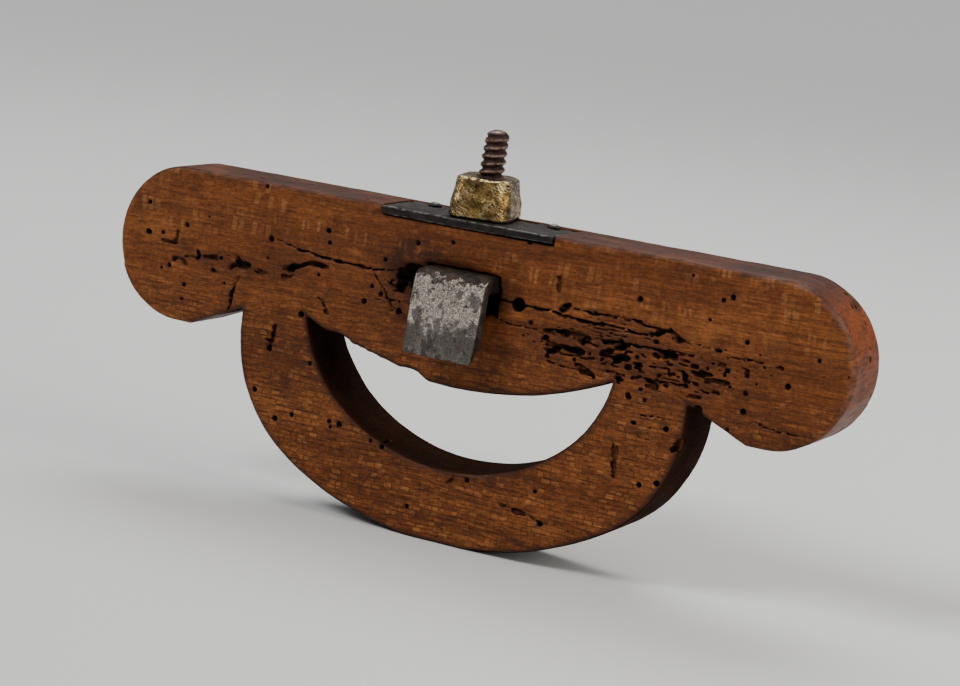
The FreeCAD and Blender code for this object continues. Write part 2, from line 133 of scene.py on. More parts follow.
class Field:
    """A signed distance sampled on a grid in millimetres, negative inside the material."""

    def __init__(self, low, high, step):
        self.step = step
        self.low = np.array(low, float)
        counts = np.ceil((np.array(high) - self.low) / step).astype(int) + 1
        self.axes = [self.low[i] + step * np.arange(counts[i]) for i in range(3)]
        self.x = self.axes[0].astype(np.float32)[:, None, None]
        self.y = self.axes[1].astype(np.float32)[None, :, None]
        self.z = self.axes[2].astype(np.float32)[None, None, :]
        self.d = None

    def noise(self, cells, seed, octaves=1, flat=()):
        """Smooth noise from -1 to 1 with one cell size, or one per axis. Axes in flat don't vary."""
        total, weight, scale = 0, 0, 1.0
        for octave in range(octaves):
            random = np.random.default_rng([seed, octave])
            used = [values[:1] if i in flat else values for i, values in enumerate(self.axes)]
            sizes = [cell * scale for cell in np.broadcast_to(cells, 3)]
            counts = [int((v[-1] - v[0]) / size) + 3 for v, size in zip(used, sizes)]
            layer = random.uniform(-1, 1, counts).astype(np.float32)
            for i in (2, 1, 0):
                layer = spread(layer, i, used[i], sizes[i])
            total = total + layer * np.float32(scale)
            weight += scale
            scale *= 0.5
        return total / np.float32(weight)

    def window(self, low, high):
        """The grid slices that hold a box."""
        view = []
        for i in range(3):
            first = int(np.floor((low[i] - self.low[i]) / self.step))
            last = int(np.ceil((high[i] - self.low[i]) / self.step)) + 1
            view.append(slice(max(first, 0), min(max(last, 1), len(self.axes[i]))))
        return tuple(view)

    def carve(self, low, high, tool, soft=0.0):
        """Take a tool's volume out of the material inside a box. The tool is told its slices too."""
        view = self.window(low, high)
        x, y, z = self.x[view[0]], self.y[:, view[1]], self.z[:, :, view[2]]
        part = self.d[view]
        if part.size:
            part[...] = smooth_max(part, -tool(x, y, z, view), soft)

    def sample(self, values, points):
        """Values on this grid at given points, straight between grid points."""
        place = (points - self.low) / self.step
        base = np.floor(place).astype(int)
        for i in range(3):
            base[:, i] = np.clip(base[:, i], 0, values.shape[i] - 2)
        share = np.clip(place - base, 0, 1)
        result = np.zeros(len(points))
        for corner in np.ndindex(2, 2, 2):
            near = np.where(np.array(corner) == 1, share, 1 - share).prod(axis=1)
            cell = base + np.array(corner)
            result += near * values[cell[:, 0], cell[:, 1], cell[:, 2]]
        return result


def largest_piece(count, quads):
    """True for the points of the largest connected surface."""
    label = np.arange(count)
    ends = np.concatenate([quads[:, [0, 1]], quads[:, [1, 2]], quads[:, [2, 3]]]).astype(int)
    while True:
        low = np.minimum(label[ends[:, 0]], label[ends[:, 1]])
        new = label.copy()
        np.minimum.at(new, ends[:, 0], low)
        np.minimum.at(new, ends[:, 1], low)
        new = new[new]
        if np.array_equal(new, label):
            break
        label = new
    return label == np.bincount(label).argmax()


def skin(field, name, node, body, attributes=None):
    """Turn a field into a smooth mesh that stands for a CAD node."""
    reach = 3 * field.step
    grid = openvdb.FloatGrid(reach)
    grid.copyFromArray(np.clip(field.d, -reach, reach).astype(np.float32))
    points, quads = grid.convertToQuads(0.0)
    points = points * field.step + field.low
    kept = largest_piece(len(points), quads)
    quads = quads[kept[quads[:, 0]]]
    number = np.cumsum(kept) - 1
    points, quads = points[kept], number[quads]
    mesh = bpy.data.meshes.new(name)
    mesh.vertices.add(len(points))
    mesh.vertices.foreach_set("co", (points * MM).astype(np.float32).ravel())
    mesh.loops.add(quads.size)
    mesh.loops.foreach_set("vertex_index", quads.astype(np.int32).ravel())
    mesh.polygons.add(len(quads))
    mesh.polygons.foreach_set("loop_start", np.arange(0, quads.size, 4, dtype=np.int32))
    mesh.update(calc_edges=True)
    mesh.validate()
    mesh.shade_smooth()
    for key, values in (attributes or {}).items():
        layer = mesh.attributes.new(key, "FLOAT", "POINT")
        layer.data.foreach_set("value", field.sample(values, points).astype(np.float32))
    piece = bpy.data.objects.new(name, mesh)
    bpy.context.scene.collection.objects.link(piece)
    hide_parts(node)
    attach(piece, body)
    print(name, len(points), "points")
    return piece


# ---------------------------------------------------------------- the stock

STOCK_STEP = 0.42
GRID_MARGIN = 1.6

LOBE_RADIUS = STOCK_HIGH[2]
LOBE_X = STOCK_HIGH[0] - LOBE_RADIUS
FLANK_REACH = 12.0
NOTCH_Z = -17.5

# The bow and the hand hole are arches: half width, the level they hang from, depth, and the radius of
# the side arcs. The hand hole's lip is one long arc, broken away by LIP_LOSS on its left.
BOW_HALF_WIDTH = 81.0
BOW = (BOW_HALF_WIDTH, -22.3, 57.2, 48.0)
HAND_HOLE = (56.0, -7.7, 46.9, 42.0)
LIP_RADIUS = 127.0
LIP_CENTRE_Z = 98.93
LIP_LOSS = 1.7

# The plate as it is worn: a little longer than the CAD's on the left and shorter on the right.
PLATE_LEFT = PLATE_LOW[0] - 0.4
PLATE_RIGHT = PLATE_HIGH[0] - 1.3

# Boxes cut in the stock, each by its lowest and highest corner. They run on past the surface.
MORTISE = ((-12.95, SOLE - 3, 2.9), (12.95, 3, 10.0))
EYE_SLOT = ((-18.9, BOLT_Y - 3.4, -3.8), (18.9, BOLT_Y + 3.4, 30))
BLIND_POCKET = ((6, SOLE - 3, -2.6), (13.3, SOLE + 12, 6))
PLATE_RECESS = (
    (PLATE_LEFT - 0.15, SOLE - 5, PLATE_LOW[2] - 0.05),
    (PLATE_RIGHT + 0.15, PLATE_HIGH[1] + 0.2, 30),
)
STUD_BORE = 4.8

# Holes keep this far inside the outline, and eaten wood lies no deeper than this.
HOLE_MARGIN = 4.0
EATEN_DEPTH = 3.1

# Exit holes of furniture beetles on the sole: across, up, radius.
SOLE_HOLES = (
    (-121, 12, 0.8), (-120, 2, 1.0), (-114.5, 3, 0.7), (-111, -7.5, 0.8), (-105.5, 7, 0.8),
    (-104.5, -13, 0.8), (-105, -18, 0.6), (-114, -9, 0.5), (-96.5, 11, 0.4), (-75.5, 24.5, 0.7),
    (-72, 8, 1.0), (-50.5, 14, 0.9), (-49.5, 10.5, 0.7), (-52.5, -0.5, 0.6), (-58, -15, 1.0),
    (-72.5, -43, 0.8), (-57.5, -48, 0.7), (-64, -51, 0.9), (-43, -47.5, 0.7), (-42, -49, 0.5),
    (-39, -48, 0.9), (-27, -50.5, 0.6), (-22.5, -52, 0.8), (-11, -69, 0.7), (-52.5, -30, 0.7),
    (-22, -7.5, 1.0), (-17.5, 16, 0.8), (-5, 18, 0.7), (-88.5, -10, 0.5), (-35, -6.5, 0.9),
    (21.5, 22.5, 0.6), (61, 11.5, 0.9), (91, 18, 0.8), (88, 16, 0.7), (84.5, 10, 0.5),
    (97.5, 5.5, 0.7), (120.5, 4, 0.6), (112, -5.5, 0.9), (88.5, 1.5, 0.5), (92, -4, 0.6),
    (91.5, -6, 0.6), (99, -16, 1.0), (94.5, -22, 0.6), (77.5, 22, 0.5), (61, -18, 0.9),
    (66.5, -18.5, 0.6), (63.5, -26, 0.4), (68.5, -45, 0.8), (74.5, -43, 0.9), (9.5, -56, 0.8),
    (34, -54.5, 0.6), (37, -64.5, 0.8), (37, -74, 0.4), (46.5, 5, 0.6), (25.5, -2, 0.7),
    (20.5, 2.6, 2.2), (30.5, -6, 0.5), (84.5, -18.5, 1.5),
)

# Galleries and gouges that lie open on the sole: half width, depth, then points along them.
SOLE_GALLERIES = (
    (0.8, 1.2, (-109, -5), (-106, -5.2), (-104, -6.2)),
    (0.5, 0.8, (-104.5, -3.8), (-100, -3.4)),
    (0.9, 1.6, (-100.5, -1), (-99.5, -3.2)),
    (0.8, 1.4, (-97, -2.6), (-93.5, -2.0), (-92, -2.2)),
    (0.6, 0.9, (-93, -7), (-91, -7.2)),
    (0.7, 1.4, (-87, -4), (-84.5, -3)),
    (0.9, 2.0, (-84, -0.5), (-83, -2.4), (-79, -2.2)),
    (0.5, 1.0, (-77, -3.6), (-72, -3.9)),
    (0.8, 1.5, (-66.5, -3.6), (-64.5, -3.6)),
    (1.1, 2.2, (-65, -1), (-62, 0), (-60, 0.6)),
    (0.8, 1.8, (-59.5, 1.2), (-55, 2.5), (-49.5, 2.3)),
    (0.6, 1.2, (-115, 0.2), (-109, 0), (-108.5, 4.5)),
    (0.7, 1.6, (-84.6, -9.5), (-86.2, -18.5)),
    (0.5, 0.8, (-82.5, -6.5), (-84, -9)),
    (0.7, 1.4, (-67, -20), (-68.5, -28.5)),
    (0.9, 2.0, (-68.6, -27.5), (-68.5, -29)),
    (0.6, 1.0, (-70.5, -23), (-69.4, -24.6)),
    (0.5, 1.0, (-51.5, -8), (-47, -13.5)),
    (0.9, 2.2, (34.8, 3), (38, 6)),
    (0.8, 2.0, (67.5, 2), (72.5, 4), (76, 1.8), (78, 1.5)),
    (0.7, 1.8, (30, -3.6), (37, -3), (46, -3.2)),
    (1.0, 2.4, (37.5, -8), (44.5, -7.8)),
    (1.0, 2.6, (43.8, -3.8), (43.5, -6)),
    (1.1, 2.2, (33, -10), (36, -8.5)),
    (0.8, 1.8, (42.5, -12), (46, -13.5), (49, -15)),
    (1.2, 2.6, (56, -3.6), (58, -3.2)),
    (1.0, 2.4, (55, -9), (57, -7.2), (60, -7)),
    (1.3, 3.0, (62.5, -8.5), (64, -9)),
    (1.0, 2.2, (56.5, -13.8), (58.5, -14)),
    (0.9, 2.0, (68, -4), (69.5, -5)),
    (1.5, 2.8, (72, -3.2), (75, -3.6)),
    (0.8, 1.8, (67, -12), (70.5, -14.2)),
    (0.8, 1.6, (78, -7.5), (80, -11)),
    (0.6, 1.4, (86, -8.6), (89, -8.2), (93.5, -8)),
    (0.9, 1.8, (108.4, -0.6), (109.6, -0.9)),
    (0.6, 1.0, (33.8, 14), (34, 9.5)),
    (0.6, 1.0, (58, -34), (60, -44)),
    (0.5, 0.8, (60, -34.5), (59.5, -40)),
    (1.2, 2.0, (78.5, -32), (80.2, -28.5)),
    (0.5, 0.9, (2, -59), (3.8, -57.5), (4.6, -55.5)),
    (0.7, 1.2, (27, -61.8), (31, -62.6)),
)

# Cracks along the grain: half width at the surface, depth, then points.
SOLE_CRACKS = (
    (0.35, 5.0, (-70, 8), (-61, 6), (-52, 5), (-44, 4.7), (-32, 4.8), (-23, 5.6)),
    (0.30, 4.0, (-33, 4.4), (-28, -1), (-24.5, -6), (-22, -7.5)),
    (0.25, 3.0, (-28, 1.5), (-24, 2.5)),
    (0.45, 7.0, (12, 2.6), (20, 2.7), (28, 2.6), (35, 3)),
    (0.40, 5.0, (28, 2.6), (40, 1.8), (52, 1.8), (62, 1.4), (68, 2)),
    (0.35, 4.0, (36, 5.4), (46, 4.6), (58, 5), (72, 3.6)),
    (0.40, 4.0, (46, -3.2), (57, -2.8), (66, -2.6), (84, -2)),
    (0.30, 3.0, (76, 1.6), (85, 1), (92, 1)),
    (0.30, 3.0, (91, -0.2), (101, 0), (109, -0.6)),
    (0.25, 2.0, (30, -9), (38, -10), (52, -9.4)),
    (0.30, 3.0, (50, -12), (62, -12.5), (76, -11.5)),
    (0.30, 2.5, (84, -12.4), (91, -11.6)),
    (0.25, 2.0, (30, -12.6), (40, -13.6), (52, -14.2)),
    (0.30, 2.5, (102, -18), (110, -19.4), (118, -19.5)),
    (0.20, 1.5, (65, -23.2), (71, -22.8), (77, -23.2)),
    (0.20, 1.5, (65, -28.8), (68, -30.4), (71.5, -30.2)),
    (0.30, 2.0, (21, -61), (30, -62.4), (39, -64.4)),
    (0.30, 2.5, (12, -3), (20, -4), (29, -3.5)),
)

# Where beetles have opened the wood most: the face, then across, up, reach along and across the
# grain, and how strongly.
EATEN_PATCHES = (
    (SOLE, 52, -5.5, 20, 6.5, 1.00),
    (SOLE, 76, -10, 16, 8, 0.85),
    (SOLE, 33, -7, 9, 5, 0.70),
    (SOLE, 58, 1.5, 24, 2.5, 0.60),
    (SOLE, 96, -5, 16, 9, 0.42),
    (SOLE, -90, -3, 20, 3.6, 0.62),
    (SOLE, -64, -1, 7, 3.5, 0.60),
    (SOLE, -24, -2, 8, 9, 0.75),
    (SOLE, 70, -27, 9, 5, 0.35),
    (0.0, 30, 2, 42, 6, 0.80),
    (0.0, -70, -6, 26, 5, 0.70),
    (0.0, 96, 4, 16, 7, 0.55),
)


def basket_arch(x, z, half_width, level, depth, side_radius):
    """Distance to an arch of three tangent arcs that hangs below a level line."""
    wide = (half_width**2 + depth**2 - 2 * half_width * side_radius) / (2 * (depth - side_radius))
    across = np.abs(x)
    side_x = half_width - side_radius
    wide_z = level - depth + wide
    to_side = np.hypot(across - side_x, z - level) - side_radius
    to_wide = np.hypot(across, z - wide_z) - wide
    past_joint = (across - side_x) * (wide_z - level) > (level - z) * side_x
    arch = np.where(past_joint, to_side, to_wide)
    return np.where(z > level, across - half_width, arch)


def stock_outline(x, z, left_lip):
    """Distance to the stock's outline: the bar and its lobes, with the bow, less the hand hole."""
    across = np.abs(x)
    bar = np.hypot(np.maximum(across - LOBE_X, 0), z) - LOBE_RADIUS
    touch = np.array((LOBE_X - FLANK_REACH, -math.sqrt(LOBE_RADIUS**2 - FLANK_REACH**2)))
    slope = touch - np.array((BOW_HALF_WIDTH, NOTCH_Z))
    slope = slope / np.linalg.norm(slope)
    below_flank = slope[1] * (across - touch[0]) - slope[0] * (z - touch[1])
    bar = np.maximum(bar, np.minimum(below_flank, across - BOW_HALF_WIDTH))
    bow = np.maximum(basket_arch(x, z, *BOW), z)
    lip = LIP_RADIUS - np.hypot(x, z - LIP_CENTRE_Z) - left_lip
    hand = np.maximum(basket_arch(x, z, *HAND_HOLE), lip)
    return np.maximum(np.minimum(bar, bow), -hand)


class Stretch:
    """One straight stretch of a route over a wide face, with the length of route behind it."""

    def __init__(self, start, end, gone, total):
        self.start, self.end = start, end
        self.length = math.dist(start, end)
        self.gone, self.total = gone, total

    def off(self, x, y, z):
        """Distance from the stretch, whatever the depth."""
        return segment(x, 0 * y, z, (self.start[0], 0, self.start[1]), (self.end[0], 0, self.end[1]))

    def share(self, x, z):
        """How much of the whole route lies behind each point, from 0 to 1."""
        across, up = self.end[0] - self.start[0], self.end[1] - self.start[1]
        along = ((x - self.start[0]) * across + (z - self.start[1]) * up) / self.length
        return np.clip((self.gone + along) / self.total, 0, 1)


def carve_route(field, points, face, seed, deep, margin, soft, section):
    """Cut a section's volume along points on a wide face, one stretch after another."""
    wander = field.track_noise[seed % len(field.track_noise)]
    inward = 1.0 if face < -1 else -1.0
    total = sum(math.dist(a, b) for a, b in zip(points, points[1:]))
    gone = 0.0
    for start, end in zip(points, points[1:]):
        low, high = np.minimum(start, end) - margin, np.maximum(start, end) + margin
        near, far = sorted((face, face + inward * deep))
        stretch = Stretch(start, end, gone, total)

        def tool(x, y, z, view, stretch=stretch):
            return section(x, y, z, (y - face) * inward, wander[view], stretch)

        field.carve((low[0], near - 1.5, low[1]), (high[0], far + 1.5, high[1]), tool, soft)
        gone += stretch.length


def carve_track(field, half_width, depth, points, face, seed):
    """Cut a ragged trench that follows points on a wide face and narrows at its ends."""

    def trench(x, y, z, sunk, shake, stretch):
        x, z = x + 1.3 * shake, z + 0.8 * shake
        share = stretch.share(x, z)
        width = half_width * (0.55 + 0.6 * np.sqrt(4 * share * (1 - share)) + 1.1 * shake)
        width = np.maximum(width, 0.12) * (1 - 0.6 * np.clip(sunk / (depth + 0.5), 0, 1) ** 2)
        return np.maximum(stretch.off(x, y, z) - width, sunk - depth * (1 + 0.5 * shake))

    carve_route(field, points, face, seed, depth + 1, half_width + 2.5, 0.2, trench)


def carve_crack(field, half_width, depth, points, face, seed):
    """Cut a thin V-shaped crack that follows points on a wide face and fades at its ends."""

    def wedge(x, y, z, sunk, shake, stretch):
        share = stretch.share(x, z)
        fade = np.clip(6 * share, 0, 1) * np.clip(6 * (1 - share), 0.15, 1)
        width = half_width * (0.55 + 0.45 * fade) * (1 + 0.5 * shake)
        off = stretch.off(x, y, z + 0.9 * shake)
        return np.maximum(off - width * (1 - sunk / (depth * (0.3 + 0.7 * fade))), sunk - depth)

    carve_route(field, points, face, seed, depth, 2.5, 0.0, wedge)


def carve_hole(field, mouth, inward, radius, depth):
    """Drill a worm hole from a point on the surface, a little way outside it to some depth inside."""
    mouth, inward = np.array(mouth, float), np.array(inward, float)
    inward = inward / np.linalg.norm(inward)
    start, end = mouth - 1.5 * inward, mouth + depth * inward
    margin = radius + 0.8
    low, high = np.minimum(start, end) - margin, np.maximum(start, end) + margin
    field.carve(low, high, lambda x, y, z, view: segment(x, y, z, start, end) - radius, 0.15)


def make_stock_field():
    """The worn wooden body as a field, with the fields that its material reads."""
    field = Field(STOCK_LOW - GRID_MARGIN, STOCK_HIGH + GRID_MARGIN, STOCK_STEP)
    x, y, z = field.x, field.y, field.z
    field.track_noise = [field.noise((2.2, 1.6, 1.1), 40 + i, 2) for i in range(2)]
    wobble = field.noise((34, 9, 26), 1, 2, flat=(1,))
    ripple = field.noise((7, 9, 7), 2, 2, flat=(1,))
    chipped = ease(-50, -42, x) * (1 - ease(-13, -8, x))
    left_lip = chipped * (LIP_LOSS + 0.5 * field.noise((3, 9, 3), 3, 2, flat=(1, 2)))
    outline = stock_outline(x, z, left_lip)
    outline = outline + 0.28 * wobble + 0.12 * ripple + 0 * y
    outline = np.maximum(outline, STOCK_LOW[2] - z)
    middle = (STOCK_LOW[1] + STOCK_HIGH[1]) / 2
    half = (STOCK_HIGH[1] - STOCK_LOW[1]) / 2
    sides = np.abs(y - middle) - half + 0.15 * (1 + field.noise((22, 90, 16), 4, 2, flat=(1,)))
    worn = 1.5 + 0.9 * field.noise((14, 30, 14), 5, 2)
    worn = np.clip(worn + 0.9 * ease(95, 125, np.abs(x)) * (z > -10), 0.5, 2.6)
    grain = field.noise((9, 1.3, 1.1), 6, 2)
    fine = field.noise((3.5, 0.9, 0.85), 7)
    field.d = round_max(outline, sides, worn) + 0.05 * grain + 0.035 * fine
    pristine = field.d.copy()
    return field, pristine, arris(outline, sides, 1.6)


def cut_box(field, box, soft=0.0, frayed=0.0):
    """Cut a box out of the wood. Its walls stand back by frayed, a number or a noise."""
    margin = 2.5
    frayed = np.broadcast_to(np.float32(frayed), field.d.shape)
    field.carve(
        np.array(box[0]) - margin,
        np.array(box[1]) + margin,
        lambda x, y, z, view: slab_box(x, y, z, *box) - frayed[view],
        soft,
    )


def cut_joinery(field):
    """The mortise, the eye's slot, the stud's bore, the dark pocket by the shank and the recess."""
    rough = field.noise((2.5, 3, 2.5), 11, 2)
    cut_box(field, MORTISE, 0.2, 0.35 * (0.5 + np.clip(rough, -0.2, 1)))
    cut_box(field, EYE_SLOT)
    field.carve(
        (-6, BOLT_Y - 6, 8),
        (6, BOLT_Y + 6, 28),
        lambda x, y, z, view: np.maximum(np.hypot(x, y - BOLT_Y) - STUD_BORE, 9.5 - z),
    )
    cut_box(field, BLIND_POCKET, 0.5, 0.7 * rough)
    cut_box(field, PLATE_RECESS)


def cut_void(field):
    """The broken-out hollow beside the mortise, and the dished, splintered wood round it."""
    lumps = field.noise((3.0, 3.0, 1.8), 12, 2)
    shreds = field.noise((3.5, 1.6, 0.9), 14, 2)
    dish = field.noise((9, 9, 6), 13, 2)

    def hollow(x, y, z, view):
        across, deep, up = (x + 18.4) / 4.9, (y - SOLE) / 9.0, (z - 4.6 - 0.2 * (x + 18)) / 4.6
        near = np.sqrt(across**2 + deep**2 + up**2)
        return (near - 1) * 3.6 + 2.6 * lumps[view] + 0.8 * shreds[view]

    def dished(x, y, z, view):
        across, up = (x - 1) / np.where(x < 1, 33.0, 24.0), (z - 4) / 8.5
        bowl = np.clip(1 - across**2 - up**2, 0, 1)
        return (y - SOLE) - 1.5 * bowl**0.7 * (1 + 0.35 * dish[view]) + 0.02

    def broken(x, y, z, view):
        away = ((x + 20.5) / 5.5) ** 2 + ((z + 9) / 7.5) ** 2
        return (y - SOLE) + 0.12 - np.exp(-(away**2)) * (0.7 + 0.9 * lumps[view] + 0.7 * shreds[view])

    field.carve((-29, SOLE - 2, -6), (-11, SOLE + 13, 12), hollow, 0.2)
    field.carve((-34, SOLE - 2, -6), (27, SOLE + 4, 14), dished, 0.5)
    field.carve((-30, SOLE - 2, -21), (-12, SOLE + 4, 3), broken, 0.25)


def eat_wood(field):
    """Open ragged tunnels along the grain where the wood is eaten, and tell how stained it is."""
    stain = np.zeros_like(field.d)
    tunnels = field.noise((4.4, 2.4, 1.35), 30, 2)
    shreds = field.noise((1.7, 1.5, 0.8), 32, 2)
    splits = field.noise((13, 5, 1.0), 31, 2)
    for face in (SOLE, 0.0):
        inward = 1.0 if face == SOLE else -1.0
        sunk = (field.y - face) * inward
        density = 0
        for patch_face, across, up, reach_x, reach_z, strength in EATEN_PATCHES:
            if patch_face == face:
                away = ((field.x - across) / reach_x) ** 2 + ((field.z - up) / reach_z) ** 2
                density = density + strength * np.exp(-(away**1.5))
        near = (sunk < 6) & (sunk > -2)
        rows = np.nonzero(near[0, :, 0])[0]
        view = (slice(None), slice(rows[0], rows[-1] + 1), slice(None))
        level = density[:, 0, :][:, None, :]
        holes = (0.92 - 0.44 * np.clip(level, 0, 1.1) - tunnels[view] - 0.22 * shreds[view]) * 1.5
        cracks = (np.abs(splits[view]) - 0.06 * np.clip(level, 0, 1) + 0.012 + 0.03 * shreds[view]) * 2.2
        cracks = np.maximum(cracks, (0.35 - level) * 2)
        deep = sunk[:, view[1]] - EATEN_DEPTH + 2 * np.abs(tunnels[view])
        tool = np.maximum(np.minimum(holes, cracks), deep)
        field.d[view] = smooth_max(field.d[view], -tool, 0.15)
        stain += np.clip(density, 0, 1) * ease(11, 8, sunk)
    return stain


def carve_marks(field):
    """Every hole, gallery and crack, listed on the sole and scattered elsewhere."""
    rng = np.random.default_rng(21)
    for number, (half_width, depth, *points) in enumerate(SOLE_GALLERIES):
        carve_track(field, half_width, depth, points, SOLE, number)
    for number, (half_width, depth, *points) in enumerate(SOLE_CRACKS):
        carve_crack(field, half_width, depth, points, SOLE, number)
    for across, up, radius in SOLE_HOLES:
        lean = rng.uniform(-0.5, 0.5, 2)
        carve_hole(field, (across, SOLE, up), (lean[0], 1, lean[1]), radius, rng.uniform(3, 7))
    for face, across, up, reach_x, reach_z, strength in EATEN_PATCHES:
        inward = 1 if face == SOLE else -1
        for _ in range(int(reach_x * reach_z * 0.07)):
            spot = (rng.normal(across, 0.5 * reach_x), face, rng.normal(up, 0.5 * reach_z))
            lean = rng.uniform(-0.8, 0.8, 2)
            size = (rng.uniform(0.3, 0.85), rng.uniform(1, 4))
            if stock_outline(spot[0], spot[2], 0) < -HOLE_MARGIN:
                carve_hole(field, spot, (lean[0], inward, lean[1]), *size)
    scatter_holes(field, rng)


def scatter_holes(field, rng):
    """Worm holes on the rear face, along the top edge and on the lobes' ends, and short galleries on the
    rear face.
    """
    for _ in range(46):
        across = rng.uniform(STOCK_LOW[0] + 6, STOCK_HIGH[0] - 6)
        up = rng.normal(-4, 12)
        lean = rng.uniform(-0.5, 0.5, 2)
        size = (rng.uniform(0.5, 0.95), rng.uniform(3, 6))
        if stock_outline(across, up, 0) < -HOLE_MARGIN:
            carve_hole(field, (across, 0, up), (lean[0], -1, lean[1]), *size)
    for _ in range(26):
        across = rng.uniform(-82, 82)
        deep = rng.uniform(SOLE + 2, -2)
        if abs(across) > PLATE_HIGH[0] + 2:
            carve_hole(field, (across, deep, LOBE_RADIUS), (0.3, 0, -1), rng.uniform(0.4, 0.8), 4)
    for side in (-1, 1):
        for _ in range(12):
            turn = rng.uniform(-1.2, 1.2)
            out = np.array((side * math.cos(turn), 0, math.sin(turn)))
            mouth = np.array((side * LOBE_X, rng.uniform(SOLE + 2, -2), 0)) + LOBE_RADIUS * out
            carve_hole(field, mouth, -out, rng.uniform(0.4, 0.85), 4)
    for number in range(14):
        start = (rng.uniform(-100, 90), rng.normal(-3, 6))
        end = (start[0] + rng.uniform(4, 16), start[1] + rng.uniform(-1, 1))
        carve_track(field, rng.uniform(0.4, 0.8), rng.uniform(0.8, 1.8), (start, end), 0.0, number)


def make_stock():
    """The beech body."""
    field, pristine, edge = make_stock_field()
    cut_void(field)
    stain = eat_wood(field)
    carve_marks(field)
    cut_joinery(field)
    marks = {"depth": -pristine, "edge": edge, "stain": stain}
    return skin(field, "beech_stock", "stock", "stock", marks)


# ---------------------------------------------------------------- the metal pieces

NAIL_X = 21.6
NAIL_Y = -6.5
NAIL_RADIUS = 0.8
NAIL_HEAD_RADIUS = 2.35
NAIL_HEAD_BULGE = 3.4
EYE_HEIGHT = 18.4
THREAD_PITCH = 2.54
THREAD_START_Z = 22.3
STUD_RADIUS = 4.1
STUD_TIP_RADIUS = 4.9
STUD_BEND = 1.0
NUT_SIDE = 20.6
NUT_TURNED = 12.0
NUT_OFF_BORE = 0.7
NUT_CORNER = 4.2
NUT_BORE = 4.22
FOOT_LEAN = 4.0
FOOT_THICK = 4.75
FOOT_BEND = 4.4
FOOT_HALF_WIDTH = 12.2
BEVEL_OUT, BEVEL_UP = 0.716, 0.698

# Flats filed on the nut: which way each faces, in the nut's own axes, and how far out it lies.
NUT_FACETS = (
    (-0.85, -0.65, 0.35, 12.2),
    (-0.35, -1.0, 0.50, 11.9),
    (0.9, -0.6, 0.25, 12.3),
    (0.6, 0.8, 0.5, 12.8),
    (-0.9, 0.6, 0.4, 12.4),
)


def make_plate():
    """The hand-cut iron plate in the top edge, with its stud hole and two nail holes."""
    field = Field(PLATE_LOW - 1.2, PLATE_HIGH + 1.2, 0.2)
    x, y, z = field.x, field.y, field.z
    ragged = field.noise((6, 4, 9), 60, 3, flat=(2,))
    dents = field.noise((4.5, 4, 5), 61, 3)
    pits = np.clip(field.noise(1.3, 62, 2) - 0.25, 0, 1)
    low = np.array((PLATE_LEFT + 0.25, PLATE_LOW[1] + 0.2, PLATE_LOW[2] + 0.05))
    high = np.array((PLATE_RIGHT - 0.25, PLATE_HIGH[1] - 0.25, PLATE_HIGH[2] - 0.02))
    across = np.maximum(np.maximum(low[0] - x, x - high[0]), np.maximum(low[1] - y, y - high[1]))
    rear = ease(high[1] - 6, high[1], y)
    across = across + 0.3 * ragged + 1.3 * rear * np.abs(ragged)
    thinner = 0.15 + 0.4 * ease(high[0] - 30, high[0], x)
    level = (low[2] + high[2]) / 2
    half = (high[2] - low[2]) / 2
    thick = np.abs(z - level) - half
    top = z - (high[2] - 0.20 - 0.22 * dents - 0.5 * pits - 0.6 * rear * np.abs(ragged))
    front_low = low[2] + thinner * (1 - ease(low[1] + 1, low[1] + 4, y)) - z
    thick = np.maximum(np.maximum(thick, top), front_low)
    field.d = round_max(across, thick, 0.55 + 0.25 * dents)
    marks = {"edge": arris(across, thick, 0.7)}
    nail = NAIL_RADIUS + 0.15
    for hole_x, hole_y, radius in ((0, BOLT_Y, 4.5), (-NAIL_X, NAIL_Y, nail), (NAIL_X, NAIL_Y, nail)):
        bore = np.hypot(x - hole_x, y - hole_y) - radius + 0 * z
        field.d = smooth_max(field.d, -bore, 0.25)
    return skin(field, "bolt_plate_iron", "bolt_plate", "stock", marks)


def make_nails():
    """Two hand-made nails with hammered domed heads."""
    nails = []
    top = PLATE_HIGH[2]
    for side, sign in (("left", -1), ("right", 1)):
        middle = sign * NAIL_X
        field = Field((middle - 3.4, NAIL_Y - 3.4, 11.5), (middle + 3.4, NAIL_Y + 3.4, top + 1.7), 0.14)
        x, y, z = field.x - middle, field.y - NAIL_Y, field.z
        lumps = field.noise(1.6, 70 + sign, 2)
        shank = np.maximum(np.maximum(np.abs(x), np.abs(y)) - 0.66, np.maximum(12 - z, z - top - 0.4))
        dome = np.sqrt(x**2 + y**2 + (z - top - 1.1 + NAIL_HEAD_BULGE) ** 2) - NAIL_HEAD_BULGE
        head = np.maximum(np.maximum(dome, top + 0.02 - z), np.hypot(x, y) - NAIL_HEAD_RADIUS)
        field.d = smooth_min(shank + 0 * lumps, head + 0.16 * lumps, 0.1)
        # The domes' tops are marked as edge, so the iron is laid pale there: partly rubbed, partly a
        # painted highlight.
        marks = {"edge": np.exp(-np.abs(top + 1.0 - z) / 0.4) + 0 * field.d}
        nails.append(skin(field, f"{side}_plate_nail", "plate_nails", "stock", marks))
    return nails


